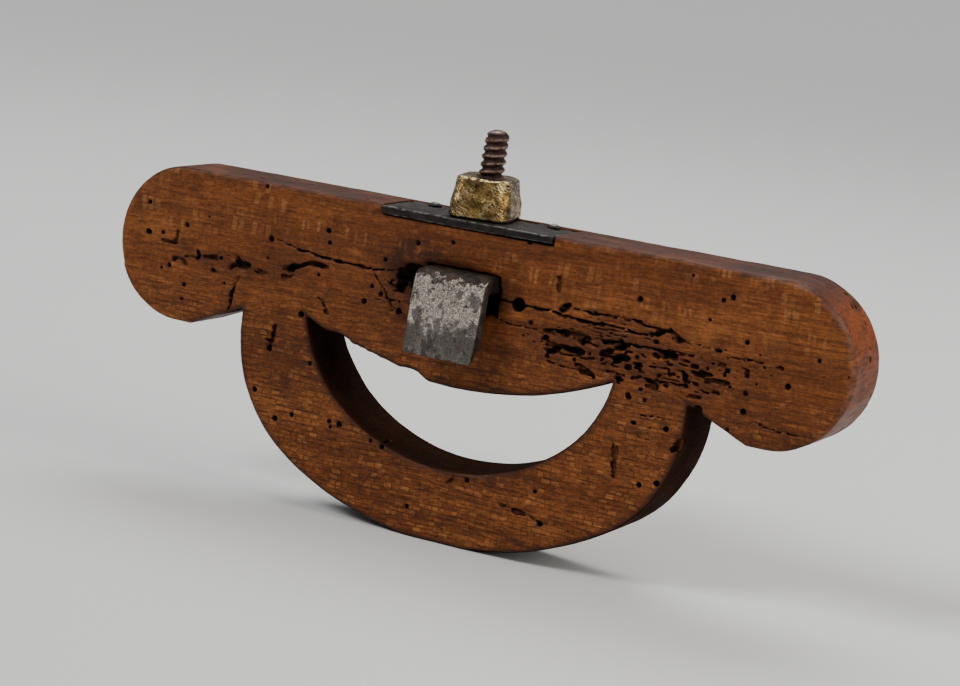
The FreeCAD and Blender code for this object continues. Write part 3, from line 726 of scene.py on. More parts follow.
def threaded_stud(x, y, z, forged):
    """Distance to the stud, and how near each point of it is to a crest of its thread, from 0 to 1."""
    around = np.hypot(x, y)
    turn = np.arctan2(y, x) / (2 * math.pi)
    phase = (z - THREAD_START_Z) / THREAD_PITCH - turn
    crest = 0.5 - 0.5 * np.cos(2 * math.pi * phase)
    started = ease(THREAD_START_Z - 0.7, THREAD_START_Z + 0.3, z)
    radius = STUD_RADIUS - 0.02 - started * 0.95 * (1 - crest**0.75)
    radius = radius - 0.35 * ease(44, 53, z) * ease(0.5, 1, crest)
    shaft = (around - radius) * (1 - 0.2 * started) + 0.05 * forged * started
    tip_z = EYE_HIGH[2] - STUD_TIP_RADIUS
    tip = np.sqrt(around**2 + (z - tip_z) ** 2) - STUD_TIP_RADIUS
    return smooth_max(shaft, np.where(z > tip_z, tip, -9), 0.5), crest * started


def make_eyebolt():
    """The forged eye and its stud, whose hand-cut thread is worn round and whose top is bent over."""
    field = Field(EYE_LOW - 1, EYE_HIGH + 1, 0.19)
    y, z = field.y - BOLT_Y, field.z
    bent = np.clip((z - NUT_HIGH[2]) / (EYE_HIGH[2] - NUT_HIGH[2]), 0, 1) ** 1.3
    x = field.x - STUD_BEND * bent
    forged = field.noise((5, 3, 5), 80, 2)
    pitted = field.noise(1.1, 81, 2)
    eye_top = EYE_LOW[2] + EYE_HEIGHT
    outer = round_max(np.abs(x) - EYE_HIGH[0], np.maximum(EYE_LOW[2] - z, z - eye_top), 2.5)
    window = np.maximum(np.abs(x) - 13.3, np.maximum(EYE_LOW[2] + 4.9 - z, z - EYE_LOW[2] - 13.5))
    ring = smooth_max(outer, -window, 0.5)
    ring = round_max(ring + 0.1 + 0.1 * forged, np.abs(y) - 2.95 + 0 * x, 0.6)
    stud, crest = threaded_stud(x, y, z, forged)
    field.d = smooth_min(ring, np.maximum(stud, eye_top - 3 - z), 0.8) + 0.03 * pitted
    marks = {"edge": crest + 0 * field.d}
    return skin(field, "forged_eyebolt", "eyebolt", "eyebolt", marks)


def make_nut():
    """The square brass nut, filed by hand out of a cast block, bruised and facetted."""
    low, high = np.array(NUT_LOW), np.array(NUT_HIGH)
    field = Field(low - 1.5, high + 1, 0.16)
    angle = math.radians(NUT_TURNED)
    x, y, z = field.x, field.y - BOLT_Y, field.z
    across = (x + NUT_OFF_BORE) * math.cos(angle) + y * math.sin(angle)
    along = -(x + NUT_OFF_BORE) * math.sin(angle) + y * math.cos(angle)
    lumps = field.noise((7, 7, 5), 90, 2)
    bruises = field.noise(1.8, 91, 2)
    nicks = np.clip(field.noise(1.0, 92, 2) - 0.35, 0, 1)
    up = z - low[2]
    half = NUT_SIDE / 2 - 0.15 - up * math.tan(math.radians(6)) + 0.35 * np.exp(-(((up - 5) / 2.2) ** 2))
    sides = round_max(np.abs(across) - half, np.abs(along) - half, NUT_CORNER)
    sides = sides + 0.18 * lumps + 0.06 * bruises
    for facet_across, facet_along, facet_up, reach in NUT_FACETS:
        way = np.array((facet_across, facet_along, facet_up), float)
        way = way / np.linalg.norm(way)
        plane = across * way[0] + along * way[1] + (up - 6.6) * way[2] - reach
        sides = smooth_max(sides, plane + 0.05 * lumps, 0.3)
    ends = np.maximum(low[2] - z, z - high[2] + 0.1 + 0.15 * (1 + lumps))
    body = round_max(sides, ends + 0 * sides, 1.0 + 0.35 * lumps)
    bore = np.hypot(x, y) - NUT_BORE
    mouth = bore - 0.7 * np.clip(1 - (high[2] - z) / 0.9, 0, 1)
    field.d = smooth_max(body + 0.18 * nicks, -np.minimum(bore, mouth), 0.15)
    marks = {"edge": arris(sides, ends, 1.3) + 0 * field.d}
    return skin(field, "brass_nut", "nut", "nut", marks)


def make_cutter():
    """The steel cutter: a bar bent to a foot, pitted by rust and ground on its face."""
    field = Field(CUTTER_LOW - 1.4, CUTTER_HIGH + 1.4, 0.245)
    x, y, z = field.x, field.y, field.z
    top, tip, edge_z = CUTTER_HIGH[2], CUTTER_LOW[1], CUTTER_LOW[2]
    tall = top - edge_z
    front = (z - top) * FOOT_LEAN - (y - tip - FOOT_LEAN) * tall
    front = front / math.hypot(FOOT_LEAN, tall)
    back = -front - FOOT_THICK
    bevel = (y - tip) * BEVEL_OUT - (z - edge_z) * BEVEL_UP
    hammered = field.noise((6, 8, 6), 100, 2)
    pits = np.clip(field.noise(0.9, 101, 2) - 0.2, 0, 1)
    deep = np.clip(field.noise(2.2, 102, 2) - 0.42, 0, 1)
    side = round_max(front, z - top + 0 * y, FOOT_BEND)
    under = smooth_min(np.maximum(back, bevel), top - 5.5 - z + 0 * y, 1.6)
    side = np.maximum(np.maximum(side, under), y - CUTTER_HIGH[1])
    low_share = np.clip((top - z) / tall, 0, 1)
    width = FOOT_HALF_WIDTH + ease(SOLE - 4, SOLE - 6, y) * (0.75 - 0.55 * low_share)
    walls = np.abs(x) - width + 0.06 * hammered
    corner = 0.7 + 0.5 * (1 - low_share)
    body = round_max(side + 0 * x, walls + 0 * y, np.minimum(corner, 1.2) + 0.2 * hammered)
    body = smooth_max(body, x * 0.75 + (z - 5) * 0.45 - (y + 31) * 0.4 - 11.4, 0.8)
    body = smooth_max(body, -x * 0.62 + (z - 5) * 0.62 - (y + 31) * 0.5 - 10.6, 1.2)
    scoop = np.sqrt(((x + 2.5) / 7.5) ** 2 + ((y + 32.5) / 4.0) ** 2 + ((z - 10.8) / 3.4) ** 2)
    body = smooth_max(body, (1 - scoop) * 2.5, 0.5)
    rusted = ease(-13, -3, z) * ease(SOLE + 2, SOLE - 2, y)
    field.d = body + 0.22 * pits * (0.35 + 0.65 * rusted) + 0.9 * deep * rusted + 0.05 * hammered
    edge = np.maximum(arris(side, walls, 0.8), np.exp(-np.abs(z - edge_z) / 0.35) + 0 * x + 0 * y)
    return skin(field, "pitted_cutter", "cutter", "cutter", {"edge": edge})


# ---------------------------------------------------------------- materials

# The grain runs along X, and rises by this many degrees to the right.
GRAIN_TURN = 1.5
BEECH_SPECULAR = 0.14


def rgb(red, green, blue):
    """A colour for a socket."""
    return (red, green, blue, 1.0)


class Paint:
    """One procedural material, with short ways to add its nodes. Sizes are in millimetres."""

    def __init__(self, name, roughness=0.5, metallic=0.0, specular=0.5):
        self.material = bpy.data.materials.new(name)
        self.material.use_nodes = True
        self.tree = self.material.node_tree
        self.shader = self.tree.nodes["Principled BSDF"]
        self.shader.inputs["Roughness"].default_value = roughness
        self.shader.inputs["Metallic"].default_value = metallic
        self.shader.inputs["Specular IOR Level"].default_value = specular
        self.coordinates = self.tree.nodes.new("ShaderNodeTexCoord")

    def add(self, kind, inputs, **settings):
        """A node with its settings, and its inputs linked or set."""
        node = self.tree.nodes.new(kind)
        for key, value in settings.items():
            setattr(node, key, value)
        for key, value in inputs.items():
            if isinstance(value, bpy.types.NodeSocket):
                self.tree.links.new(value, node.inputs[key])
            else:
                node.inputs[key].default_value = value
        return node

    def mapping(self, vector, **inputs):
        """A vector after a turn or a scale."""
        return self.add("ShaderNodeMapping", {"Vector": vector, **inputs}).outputs[0]

    def place(self, cells, turn=0.0):
        """Object coordinates counted in cells, after a turn about Y in degrees."""
        spun = self.coordinates.outputs["Object"]
        if turn:
            spun = self.mapping(spun, Rotation=(0, math.radians(turn), 0))
        return self.mapping(spun, Scale=1 / (np.broadcast_to(cells, 3) * MM))

    def noise(self, cells, detail=3.0, rough=0.55, turn=0.0, bend=0.0):
        """Smooth noise between about 0.2 and 0.8."""
        inputs = {"Vector": self.place(cells, turn), "Scale": 1.0, "Detail": detail}
        inputs |= {"Roughness": rough, "Distortion": bend}
        return self.add("ShaderNodeTexNoise", inputs).outputs["Fac"]

    def patches(self, cells, low, high, detail=3.0, rough=0.55):
        """Patches of noise: 0 where it is below low, 1 above high."""
        return self.fade(self.noise(cells, detail, rough), low, high)

    def cells(self, cells, turn=0.0):
        """Scattered cells: the distance to the nearest one's centre."""
        inputs = {"Vector": self.place(cells, turn), "Scale": 1.0}
        return self.add("ShaderNodeTexVoronoi", inputs).outputs["Distance"]

    def bricks(self, width, height, joint, drift):
        """Uneven rows of bricks on the wide faces: the shade of each one, and the joints."""
        inputs = {"Vector": self.place((21, 20, 8)), "Scale": 1.0, "Detail": 3.0}
        wander = self.add("ShaderNodeTexNoise", inputs).outputs["Color"]
        wander = self.add("ShaderNodeVectorMath", {0: wander, 1: drift}, operation="MULTIPLY").outputs[0]
        inputs = {0: self.place(1), 1: wander}
        moved = self.add("ShaderNodeVectorMath", inputs, operation="ADD").outputs[0]
        upright = self.mapping(moved, Rotation=(-math.pi / 2, 0, math.radians(GRAIN_TURN)))
        inputs = {"Vector": upright, "Scale": 1.0, "Mortar Size": joint, "Mortar Smooth": 0.8}
        inputs |= {"Color1": rgb(0, 0, 0), "Color2": rgb(1, 1, 1), "Mortar": rgb(0.5, 0.5, 0.5)}
        inputs |= {"Brick Width": width, "Row Height": height, "Bias": 0.0}
        node = self.add("ShaderNodeTexBrick", inputs, offset=0.37, squash=0.7, squash_frequency=3)
        return node.outputs["Color"], node.outputs["Fac"]

    def attribute(self, name):
        """A value stored on the mesh's points."""
        return self.add("ShaderNodeAttribute", {}, attribute_name=name).outputs["Fac"]

    def axes(self, kind="Object"):
        """The separate X, Y and Z of the object coordinates in metres, or of its normal."""
        return self.add("ShaderNodeSeparateXYZ", {0: self.coordinates.outputs[kind]}).outputs

    def fade(self, value, low, high, start=0.0, end=1.0):
        """start where value is below low, end above high, and a smooth step between."""
        inputs = {"Value": value, "From Min": low, "From Max": high, "To Min": start, "To Max": end}
        return self.add("ShaderNodeMapRange", inputs, interpolation_type="SMOOTHSTEP").outputs[0]

    def math(self, operation, a, b=0.0):
        """One step of arithmetic."""
        return self.add("ShaderNodeMath", {0: a, 1: b}, operation=operation).outputs[0]

    def plus(self, a, b):
        """The sum of two values."""
        return self.math("ADD", a, b)

    def minus(self, a, b):
        """One value less another."""
        return self.math("SUBTRACT", a, b)

    def times(self, *values):
        """The product of several values."""
        total = values[0]
        for value in values[1:]:
            total = self.math("MULTIPLY", total, value)
        return total

    def inverse(self, value):
        """1 where a value is 0, and 0 where it is 1."""
        return self.minus(1.0, value)

    def absolute(self, value):
        """A value without its sign."""
        return self.math("ABSOLUTE", value)

    def larger(self, a, b):
        """The larger of two values."""
        return self.math("MAXIMUM", a, b)

    def mix(self, share, a, b, blend="MIX"):
        """One colour laid over another."""
        inputs = {0: share, 6: a, 7: b}
        return self.add("ShaderNodeMix", inputs, data_type="RGBA", blend_type=blend).outputs[2]

    def lay(self, tone, colour, *amounts):
        """A plain colour laid over a tone, by the product of several amounts."""
        return self.mix(self.times(*amounts), tone, rgb(*colour))

    def ramp(self, value, *stops):
        """A colour that runs through stops of place, red, green and blue."""
        node = self.add("ShaderNodeValToRGB", {"Fac": value})
        points = node.color_ramp.elements
        while len(points) < len(stops):
            points.new(0.5)
        for point, (place, *colour) in zip(points, stops):
            point.position = place
            point.color = rgb(*colour)
        return node.outputs["Color"]

    def bump(self, height, distance, before=None):
        """Relief of a given height in millimetres, on top of an earlier one."""
        inputs = {"Height": height, "Distance": distance * MM, "Strength": 1.0}
        if before is not None:
            inputs["Normal"] = before
        return self.add("ShaderNodeBump", inputs).outputs[0]

    def finish(self, colour, roughness, normal, specular=None):
        """Wire the results to the shader and return the material."""
        results = {"Base Color": colour, "Roughness": roughness, "Normal": normal}
        if specular is not None:
            results["Specular IOR Level"] = specular
        for key, value in results.items():
            self.tree.links.new(value, self.shader.inputs[key])
        return self.material


def paint_beech():
    """Old oiled beech: orange-brown, with dark growth lines, ray flecks, grime and worn edges, with
    painted shade in its holes, recesses, hand hole and narrow faces, and painted light on the lobes' ends
    and the right end's arrises.
    """
    p = Paint("oiled_beech", specular=BEECH_SPECULAR)
    x, _, z = p.axes()
    across, out, _ = p.axes("Normal")
    wide_face = p.fade(p.absolute(out), 0.55, 0.85)
    end_grain = p.fade(p.absolute(across), 0.35, 0.75)
    # The lower middle: the hand hole and the faces under the bow, darkened as partly grime and partly
    # painted shade.
    handled_and_shaded = p.times(p.fade(z, 0.004, -0.014), p.fade(p.absolute(x), 0.092, 0.082))
    narrow_tone = paint_narrow_faces(p, x, z, handled_and_shaded, end_grain)
    wide_tone, joints = paint_wide_face(p, z)
    # The narrow faces take a darker, redder tone than the wide faces: partly their own colour, partly
    # painted shade.
    tone = p.mix(wide_face, narrow_tone, wide_tone)
    fibres = p.noise((8, 0.8, 0.46), 4, 0.75, GRAIN_TURN)
    tint = p.ramp(fibres, (0.35, 0.5, 0.45, 0.42), (0.65, 1.45, 1.45, 1.44))
    tone = p.mix(0.62, tone, tint, "MULTIPLY")
    mottle = p.noise((1.3, 1.5, 1.1), 4, 0.7)
    tint = p.ramp(mottle, (0.34, 0.62, 0.58, 0.56), (0.66, 1.34, 1.36, 1.38))
    tone = p.mix(0.72, tone, tint, "MULTIPLY")
    tone = soil_beech(p, tone, x, z)
    tone = wear_beech(p, tone, x, z, handled_and_shaded)
    depth = p.attribute("depth")
    # Holes, cracks, the mortise and other recesses laid dark, near-black deeper in, by their depth below
    # the worn surface: painted shade.
    tone = p.lay(tone, (0.04, 0.013, 0.005), p.fade(depth, 0.12, 0.6, 0.0, 0.6))
    tone = p.lay(tone, (0.005, 0.0025, 0.0015), p.fade(depth, 0.5, 2.0, 0.0, 0.96))
    rough = p.fade(p.noise((18, 18, 10)), 0.35, 0.65, 0.42, 0.6)
    rough = p.plus(rough, p.fade(depth, 0.1, 0.8, 0.0, 0.35))
    rough = p.minus(rough, p.fade(p.attribute("edge"), 0.3, 0.8, 0.0, 0.08))
    blackened = p.times(handled_and_shaded, p.inverse(wide_face))
    rough = p.plus(rough, p.times(blackened, 0.35))
    sheen = p.fade(blackened, 0.0, 1.0, BEECH_SPECULAR, 0.02)
    relief = p.bump(fibres, 0.12)
    relief = p.bump(p.noise((40, 5, 1.3), 4, 0.6, GRAIN_TURN), 0.3, relief)
    relief = p.bump(joints, -0.1, relief)
    relief = p.bump(p.noise((1.6, 0.9, 0.6), 4, 0.7), 0.12, relief)
    return p.finish(tone, rough, relief, sheen)


def soil_beech(p, tone, x, z):
    """Drifts of grime, and dark stains round the mortise and where the beetles have been."""
    tone = p.lay(tone, (0.034, 0.01, 0.003), p.patches((11, 11, 7), 0.5, 0.72, 5, 0.65), 0.55)
    beside = p.math("POWER", p.times(p.plus(x, 0.015), 55.0), 2.0)
    above = p.math("POWER", p.times(p.minus(z, 0.007), 80.0), 2.0)
    dirty = p.times(p.fade(p.plus(beside, above), 1.3, 0.3), p.patches((5, 5, 3), 0.38, 0.58, 4, 0.65))
    tone = p.lay(tone, (0.022, 0.008, 0.004), dirty, 0.75)
    stain = p.times(p.attribute("stain"), p.patches((6, 6, 3), 0.36, 0.6, 4, 0.6))
    return p.lay(tone, (0.052, 0.015, 0.006), stain, 0.6)


def wear_beech(p, tone, x, z, handled_and_shaded):
    """Arrises rubbed pale, a pale painted highlight on the right end's upper arrises, and the other
    arrises dark with grime, darkest in the hand hole and under the bow where that is partly painted shade.
    """
    edge = p.attribute("edge")
    rubbed = p.times(p.patches((7, 7, 5), 0.42, 0.58), p.inverse(handled_and_shaded))
    tone = p.lay(tone, (0.23, 0.095, 0.045), p.fade(edge, 0.45, 0.9), rubbed, 0.35)
    # A pale painted highlight on the upper arrises of the right end.
    right_end_highlight = p.times(p.fade(x, 0.092, 0.112), p.fade(z, -0.016, 0.004), p.fade(edge, 0.22, 0.75))
    right_end_highlight = p.times(right_end_highlight, p.patches((6, 6, 3), 0.34, 0.52, 4, 0.6))
    tone = p.lay(tone, (0.23, 0.145, 0.12), right_end_highlight, 0.7)
    # Arrises laid dark with grime, darker in the hand hole and under the bow, where the extra is partly
    # painted shade.
    greasy = p.times(p.fade(edge, 0.12, 0.7), p.inverse(rubbed), p.inverse(right_end_highlight))
    return p.lay(tone, (0.026, 0.009, 0.005), greasy, p.plus(0.6, p.times(handled_and_shaded, 0.32)))


def paint_narrow_faces(p, x, z, handled_and_shaded, end_grain):
    """The top edge, the hand hole and the lobes' ends: darker and redder than the wide faces, partly as
    painted shade; pored at the ends, with painted light on their upper halves; near-black in the hand hole
    and under the bow, partly grime and partly painted shade.
    """
    tone = p.ramp(
        p.noise((22, 9, 9), 4),
        (0.34, 0.034, 0.01, 0.005),
        (0.55, 0.075, 0.021, 0.008),
        (0.72, 0.13, 0.04, 0.014),
    )
    pores = p.fade(p.cells((0.55, 0.8, 0.55)), 0.1, 0.35, 1.0, 0.0)
    streaks = p.noise((3, 9, 1.2), 4, 0.6)
    end_tone = p.ramp(streaks, (0.34, 0.052, 0.014, 0.006), (0.66, 0.17, 0.052, 0.017))
    end_tone = p.lay(end_tone, (0.026, 0.008, 0.004), pores, 0.45)
    # Painted light: the upper halves of the lobes' ends laid bright orange.
    lit_upper_ends = p.times(p.fade(z, -0.008, 0.012), p.patches((5, 9, 5), 0.34, 0.58, 4, 0.6))
    end_tone = p.lay(end_tone, (0.235, 0.058, 0.015), lit_upper_ends, 0.75)
    at_end = p.times(end_grain, p.fade(p.absolute(x), 0.1, 0.115))
    tone = p.mix(p.times(at_end, 0.9), tone, end_tone)
    # The narrow faces in the hand hole and under the bow laid near-black: partly grime from hands, partly
    # painted shade.
    return p.lay(tone, (0.011, 0.005, 0.003), handled_and_shaded, 0.88)


def paint_wide_face(p, z):
    """The colour of beech on the sole and the rear face, and the joints between its ray flecks."""
    tone = p.ramp(
        p.noise((55, 40, 14), 4, bend=0.4),
        (0.32, 0.125, 0.036, 0.0085),
        (0.47, 0.168, 0.05, 0.012),
        (0.58, 0.212, 0.066, 0.0165),
        (0.72, 0.265, 0.09, 0.024),
    )
    clouds = p.noise((4.5, 6, 9), 3, 0.5)
    tone = p.lay(tone, (0.105, 0.031, 0.008), p.fade(clouds, 0.4, 0.62, 0.0, 0.35))
    bands = p.noise((70, 5, 2.6), 4, 0.6, GRAIN_TURN, bend=0.5)
    tone = p.lay(tone, (0.074, 0.02, 0.005), p.fade(bands, 0.36, 0.56, 0.5, 0.0))
    low_down = p.fade(z, 0.002, -0.03)
    tone, joints = lay_rays(p, tone, low_down)
    flecks, fleck_joints = p.bricks(2.6, 4.6, 0.55, (3.0, 0.0, 6.0))
    flecks = p.times(p.fade(flecks, 0.55, 0.95), p.inverse(fleck_joints))
    near_top = p.times(p.fade(z, 0.0, 0.013), p.patches((24, 26, 14), 0.38, 0.56, 2))
    tone = p.lay(tone, (0.44, 0.2, 0.072), flecks, near_top, 0.3)
    wavering = p.absolute(p.minus(p.noise((26, 6, 1.9), 3, 0.6, GRAIN_TURN), 0.5))
    lines = p.fade(wavering, 0.004, 0.026, 1.0, 0.0)
    tone = p.lay(tone, (0.034, 0.009, 0.003), lines, p.plus(p.times(low_down, 0.3), 0.34))
    dashes = p.fade(p.cells((2.8, 1.6, 0.55), GRAIN_TURN), 0.12, 0.34, 1.0, 0.0)
    return p.lay(tone, (0.048, 0.012, 0.004), dashes, 0.38), joints


def lay_rays(p, tone, low_down):
    """Pale and dark ray flecks, like uneven brickwork with broken joints, strongest low down."""
    shade, joints = p.bricks(3.3, 1.7, 0.42, (4.0, 0.0, 4.5))
    pale = p.times(p.fade(shade, 0.52, 0.95), p.inverse(joints))
    drifts = p.fade(p.noise((9, 8, 6), 2), 0.36, 0.6, 0.25, 1.0)
    amount = p.times(p.plus(p.times(low_down, 0.34), 0.06), drifts)
    tone = p.lay(tone, (0.4, 0.165, 0.048), pale, amount)
    amount = p.plus(p.times(low_down, 0.22), 0.08)
    tone = p.lay(tone, (0.075, 0.02, 0.006), p.fade(shade, 0.45, 0.05), amount)
    amount = p.times(p.plus(p.times(low_down, 0.4), 0.1), p.patches((5, 6, 1.3), 0.4, 0.58, 3, 0.6))
    joints = p.times(p.fade(joints, 0.35, 1.0), amount)
    return p.lay(tone, (0.022, 0.006, 0.002), joints), joints


def paint_plate_iron():
    """Wrought iron, nearly black, with brown rust in its hollows, and pale edges and nail tops, partly
    rubbed and partly painted highlight.
    """
    p = Paint("black_wrought_iron", metallic=0.3, specular=0.3)
    scale = p.noise((5, 4, 4), 5, 0.65)
    tone = p.ramp(
        scale,
        (0.32, 0.004, 0.003, 0.003),
        (0.5, 0.009, 0.007, 0.006),
        (0.68, 0.026, 0.019, 0.016),
    )
    tone = p.lay(tone, (0.036, 0.013, 0.006), p.patches(3, 0.5, 0.66, 5, 0.7), 0.8)
    # Edges and the nails' tops laid pale: partly rubbed iron, partly a painted highlight.
    rubbed = p.times(p.fade(p.attribute("edge"), 0.4, 0.9), p.patches(2, 0.4, 0.58))
    tone = p.lay(tone, (0.34, 0.31, 0.29), rubbed, 0.9)
    specks = p.fade(p.cells(0.5), 0.1, 0.4, 1.0, 0.0)
    tone = p.lay(tone, (0.006, 0.004, 0.004), specks, 0.4)
    rough = p.minus(p.fade(scale, 0.3, 0.7, 0.74, 0.46), p.times(rubbed, 0.14))
    relief = p.bump(p.noise(0.8, 5, 0.7), 0.18)
    relief = p.bump(p.noise(3.5), 0.5, relief)
    return p.finish(tone, rough, relief)


def paint_stud_iron():
    """Rusty brown iron, pale along the crests of the thread, partly rubbed and partly a painted highlight.
    """
    p = Paint("rusted_stud_iron", metallic=0.5, specular=0.4)
    tone = p.ramp(
        p.noise((2.5, 2.5, 2.0), 5, 0.65),
        (0.32, 0.012, 0.005, 0.003),
        (0.5, 0.045, 0.017, 0.01),
        (0.66, 0.095, 0.04, 0.025),
    )
    crest = p.attribute("edge")
    # Crests of the thread laid pale: partly rubbed iron, partly a painted highlight.
    worn = p.times(p.fade(crest, 0.7, 1.0), p.patches((1.2, 1.2, 0.8), 0.36, 0.6))
    tone = p.lay(tone, (0.3, 0.21, 0.17), worn, 0.75)
    tone = p.lay(tone, (0.007, 0.003, 0.002), p.fade(crest, 0.55, 0.05), 0.75)
    rough = p.minus(0.52, p.times(worn, 0.22))
    return p.finish(tone, rough, p.bump(p.noise((0.5, 0.5, 0.4), 4, 0.7), 0.14))


def paint_brass():
    """Brass, filed and bruised bright on a brown, dull skin."""
    p = Paint("filed_brass", metallic=1.0)
    tone = p.ramp(
        p.noise(5, 5, 0.65),
        (0.34, 0.04, 0.02, 0.007),
        (0.5, 0.17, 0.098, 0.03),
        (0.66, 0.38, 0.24, 0.08),
    )
    strokes = p.noise((0.22, 3.0, 4.5), 4, 0.65, turn=38)
    cross_strokes = p.noise((5.0, 3.0, 0.22), 4, 0.65, turn=-20)
    filed = p.fade(p.larger(strokes, cross_strokes), 0.53, 0.64)
    where_filed = p.fade(p.noise((5, 5, 4), 3, 0.5), 0.42, 0.58, 0.15, 0.95)
    tone = p.lay(tone, (0.92, 0.72, 0.38), filed, where_filed)
    grime = p.patches(1.2, 0.52, 0.62, 4, 0.7)
    tone = p.lay(tone, (0.022, 0.011, 0.005), grime, 0.85)
    bright = p.times(p.fade(p.attribute("edge"), 0.35, 0.9), p.patches(1.6, 0.42, 0.55))
    tone = p.lay(tone, (0.98, 0.8, 0.45), bright, 0.85)
    rough = p.plus(0.24, p.times(grime, 0.35))
    relief = p.bump(p.plus(strokes, cross_strokes), 0.13)
    relief = p.bump(p.noise(2.8, 2, 0.5), 0.45, relief)
    return p.finish(tone, rough, relief)


def paint_steel():
    """Pitted steel: bright and speckled above, dark and smooth near its edge, and near-black on its upward
    and side faces and its shank, partly forge scale and partly painted shade.
    """
    p = Paint("pitted_steel", metallic=0.85)
    _, y, z = p.axes()
    across, _, up = p.axes("Normal")
    patina = p.noise((6, 6, 5), 4, 0.6)
    speckle = p.noise(0.36, 3, 0.65)
    ground = p.noise((0.5, 1.5, 6.0), 4, 0.65)
    tone = p.ramp(patina, (0.34, 0.18, 0.15, 0.125), (0.5, 0.3, 0.258, 0.22), (0.66, 0.44, 0.385, 0.335))
    tone = p.lay(tone, (0.03, 0.024, 0.019), p.fade(speckle, 0.36, 0.5, 0.9, 0.0))
    tone = p.lay(tone, (1.0, 0.91, 0.8), p.fade(speckle, 0.54, 0.66, 0.0, 0.65))
    low_tone = p.ramp(ground, (0.36, 0.06, 0.051, 0.045), (0.64, 0.14, 0.12, 0.105))
    low_tone = p.lay(low_tone, (0.042, 0.036, 0.033), p.fade(patina, 0.46, 0.6, 0.6, 0.0))
    border = p.plus(z, p.times(p.minus(p.noise((6, 6, 5), 4, 0.65), 0.5), 0.03))
    tone = p.mix(p.times(p.fade(border, -0.0045, -0.009), 0.9), tone, low_tone)
    tone = p.lay(tone, (0.035, 0.03, 0.03), p.patches((5, 6, 5), 0.56, 0.62, 3, 0.5), 0.75)
    scale, scale_and_shade_tone = black_scale_and_shade(p)
    # Upward-facing and side faces, and the shank behind, laid near-black: partly unground forge scale,
    # partly painted shade.
    ragged_up = p.plus(up, p.fade(p.noise(2.2, 4, 0.65), 0.25, 0.75, -0.4, 0.4))
    unground_and_shaded = p.larger(p.fade(ragged_up, 0.4, 0.62), p.fade(p.absolute(across), 0.5, 0.8))
    scaled_and_shaded = p.larger(p.times(unground_and_shaded, 0.9), p.fade(y, -0.029, -0.025))
    tone = p.mix(scaled_and_shaded, tone, scale_and_shade_tone)
    rim = p.times(p.fade(p.attribute("edge"), 0.55, 0.95), p.patches(1.5, 0.36, 0.52))
    tone = p.lay(tone, (0.8, 0.77, 0.73), rim, 0.85)
    rough = p.plus(p.fade(speckle, 0.4, 0.6, 0.5, 0.34), p.times(scaled_and_shaded, 0.24))
    relief = p.bump(speckle, 0.3)
    relief = p.bump(scale, 0.3, relief)
    relief = p.bump(ground, 0.06, relief)
    return p.finish(tone, rough, relief)


def black_scale_and_shade(p):
    """The noise of the cutter's forge scale, and its colour: nearly black, with patches of rust, laid as
    scale and as painted shade.
    """
    scale = p.noise((2.8, 4.0, 2.8), 5, 0.7)
    tone = p.ramp(
        scale,
        (0.34, 0.008, 0.006, 0.005),
        (0.52, 0.028, 0.02, 0.016),
        (0.68, 0.085, 0.062, 0.05),
    )
    return scale, p.lay(tone, (0.075, 0.026, 0.012), p.patches((4, 7, 4), 0.5, 0.64, 5, 0.7), 0.7)


# ---------------------------------------------------------------- the studio

# The photograph's view: a place in millimetres, turns in radians, and a lens for a 36 mm sensor.
CAMERA_PLACE = (377.8, -736.4, 138.5)
CAMERA_YAW = -0.477372
CAMERA_PITCH = -0.184877
CAMERA_ROLL = 0.114140
CAMERA_LENS = 97.75
FLOOR_REACH = 14.0
FLOOR_COLOUR = rgb(0.62, 0.615, 0.605)


def place_object(name, data, matrix):
    """Put a light or a camera in the scene."""
    holder = bpy.data.objects.new(name, data)
    holder.matrix_world = matrix
    bpy.context.scene.collection.objects.link(holder)
    return holder


def add_camera():
    """The photograph's view, as a place, three turns and a lens."""
    camera = bpy.data.cameras.new("camera")
    camera.lens = CAMERA_LENS
    camera.sensor_width = 36.0
    camera.clip_end = 100.0
    matrix = Matrix.Translation(Vector(CAMERA_PLACE) * MM) @ Matrix.Rotation(-CAMERA_YAW, 4, "Z")
    matrix = matrix @ Matrix.Rotation(math.pi / 2 + CAMERA_PITCH, 4, "X")
    matrix = matrix @ Matrix.Rotation(CAMERA_ROLL, 4, "Z")
    bpy.context.scene.camera = place_object("camera", camera, matrix)


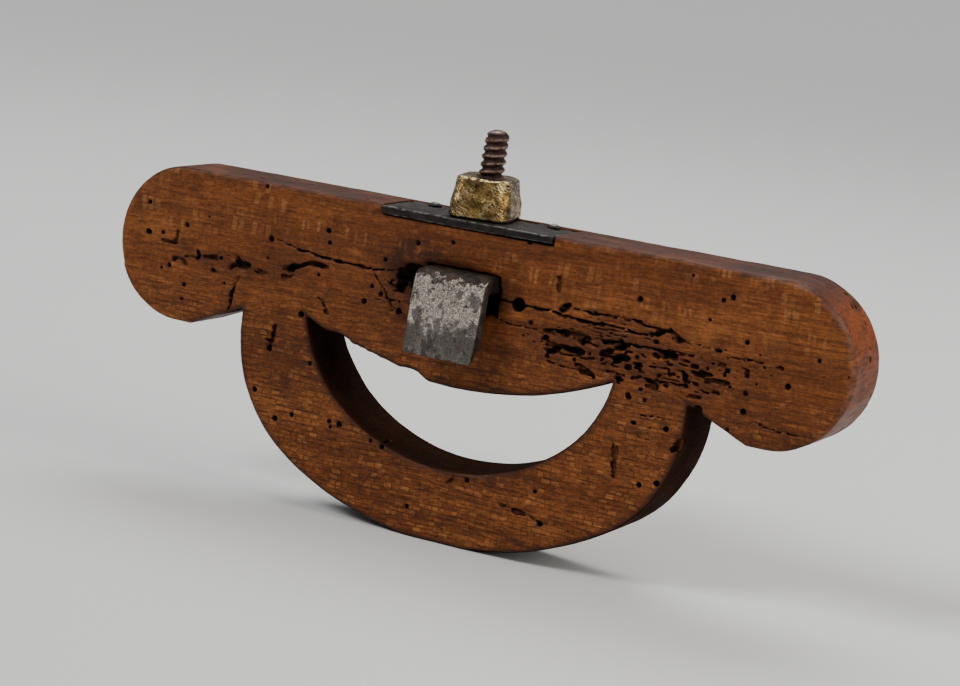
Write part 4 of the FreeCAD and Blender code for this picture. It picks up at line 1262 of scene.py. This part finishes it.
def add_floor():
    """A plain pale floor that the bow stands on."""
    p = Paint("pale_floor", roughness=0.8, specular=0.2)
    p.shader.inputs["Base Color"].default_value = FLOOR_COLOUR
    level = STOCK_LOW[2] * MM
    signs = ((-1, -1), (1, -1), (1, 1), (-1, 1))
    corners = [(across * FLOOR_REACH, along * FLOOR_REACH, level) for across, along in signs]
    mesh = bpy.data.meshes.new("floor")
    mesh.from_pydata(corners, [], [(0, 1, 2, 3)])
    mesh.materials.append(p.material)
    floor = bpy.data.objects.new("floor", mesh)
    bpy.context.scene.collection.objects.link(floor)


def aimed(direction):
    """The turn that makes a light shine along a direction."""
    return Vector(direction).to_track_quat("-Z", "Y").to_matrix().to_4x4()


def add_softbox(name, place, target, size, power, colour=(1, 1, 1)):
    """A large soft light at a place in metres, aimed at a target."""
    light = bpy.data.lights.new(name, "AREA")
    light.shape = "RECTANGLE"
    light.size, light.size_y = size
    light.energy = power
    light.color = colour
    aim = Vector(target) - Vector(place)
    place_object(name, light, Matrix.Translation(place) @ aimed(aim))


def add_sun(name, direction, strength, softness):
    """A broad even light that shines along a direction, soft over an angle in degrees."""
    light = bpy.data.lights.new(name, "SUN")
    light.energy = strength
    light.angle = math.radians(softness)
    place_object(name, light, aimed(direction))


def add_lights():
    """A soft key from the upper left, a light from behind, two soft boxes and an even pale surround."""
    add_sun("key", (0.45, 0.62, -0.80), 2.2, 24)
    add_sun("back", (0.15, -0.42, -0.90), 0.7, 40)
    add_softbox("fill", (1.15, -0.1, 0.6), (0.05, 0, 0), (0.7, 0.9), 13.0, (1.0, 0.96, 0.92))
    add_softbox("overhead", (-0.2, 0.6, 1.0), (0, 0, 0), (1.0, 0.6), 7.0)
    world = bpy.data.worlds.new("studio")
    world.use_nodes = True
    surround = world.node_tree.nodes["Background"]
    surround.inputs["Color"].default_value = rgb(0.95, 0.97, 1.0)
    surround.inputs["Strength"].default_value = 0.22
    bpy.context.scene.world = world


# ---------------------------------------------------------------- the whole


def build():
    """Make every piece, paint it, and set the scene."""
    iron = paint_plate_iron()
    pieces = [(make_stock(), paint_beech()), (make_plate(), iron)]
    pieces += [(nail, iron) for nail in make_nails()]
    pieces += [(make_eyebolt(), paint_stud_iron()), (make_nut(), paint_brass())]
    pieces.append((make_cutter(), paint_steel()))
    for piece, material in pieces:
        piece.data.materials.append(material)
    add_camera()
    add_floor()
    add_lights()


build()
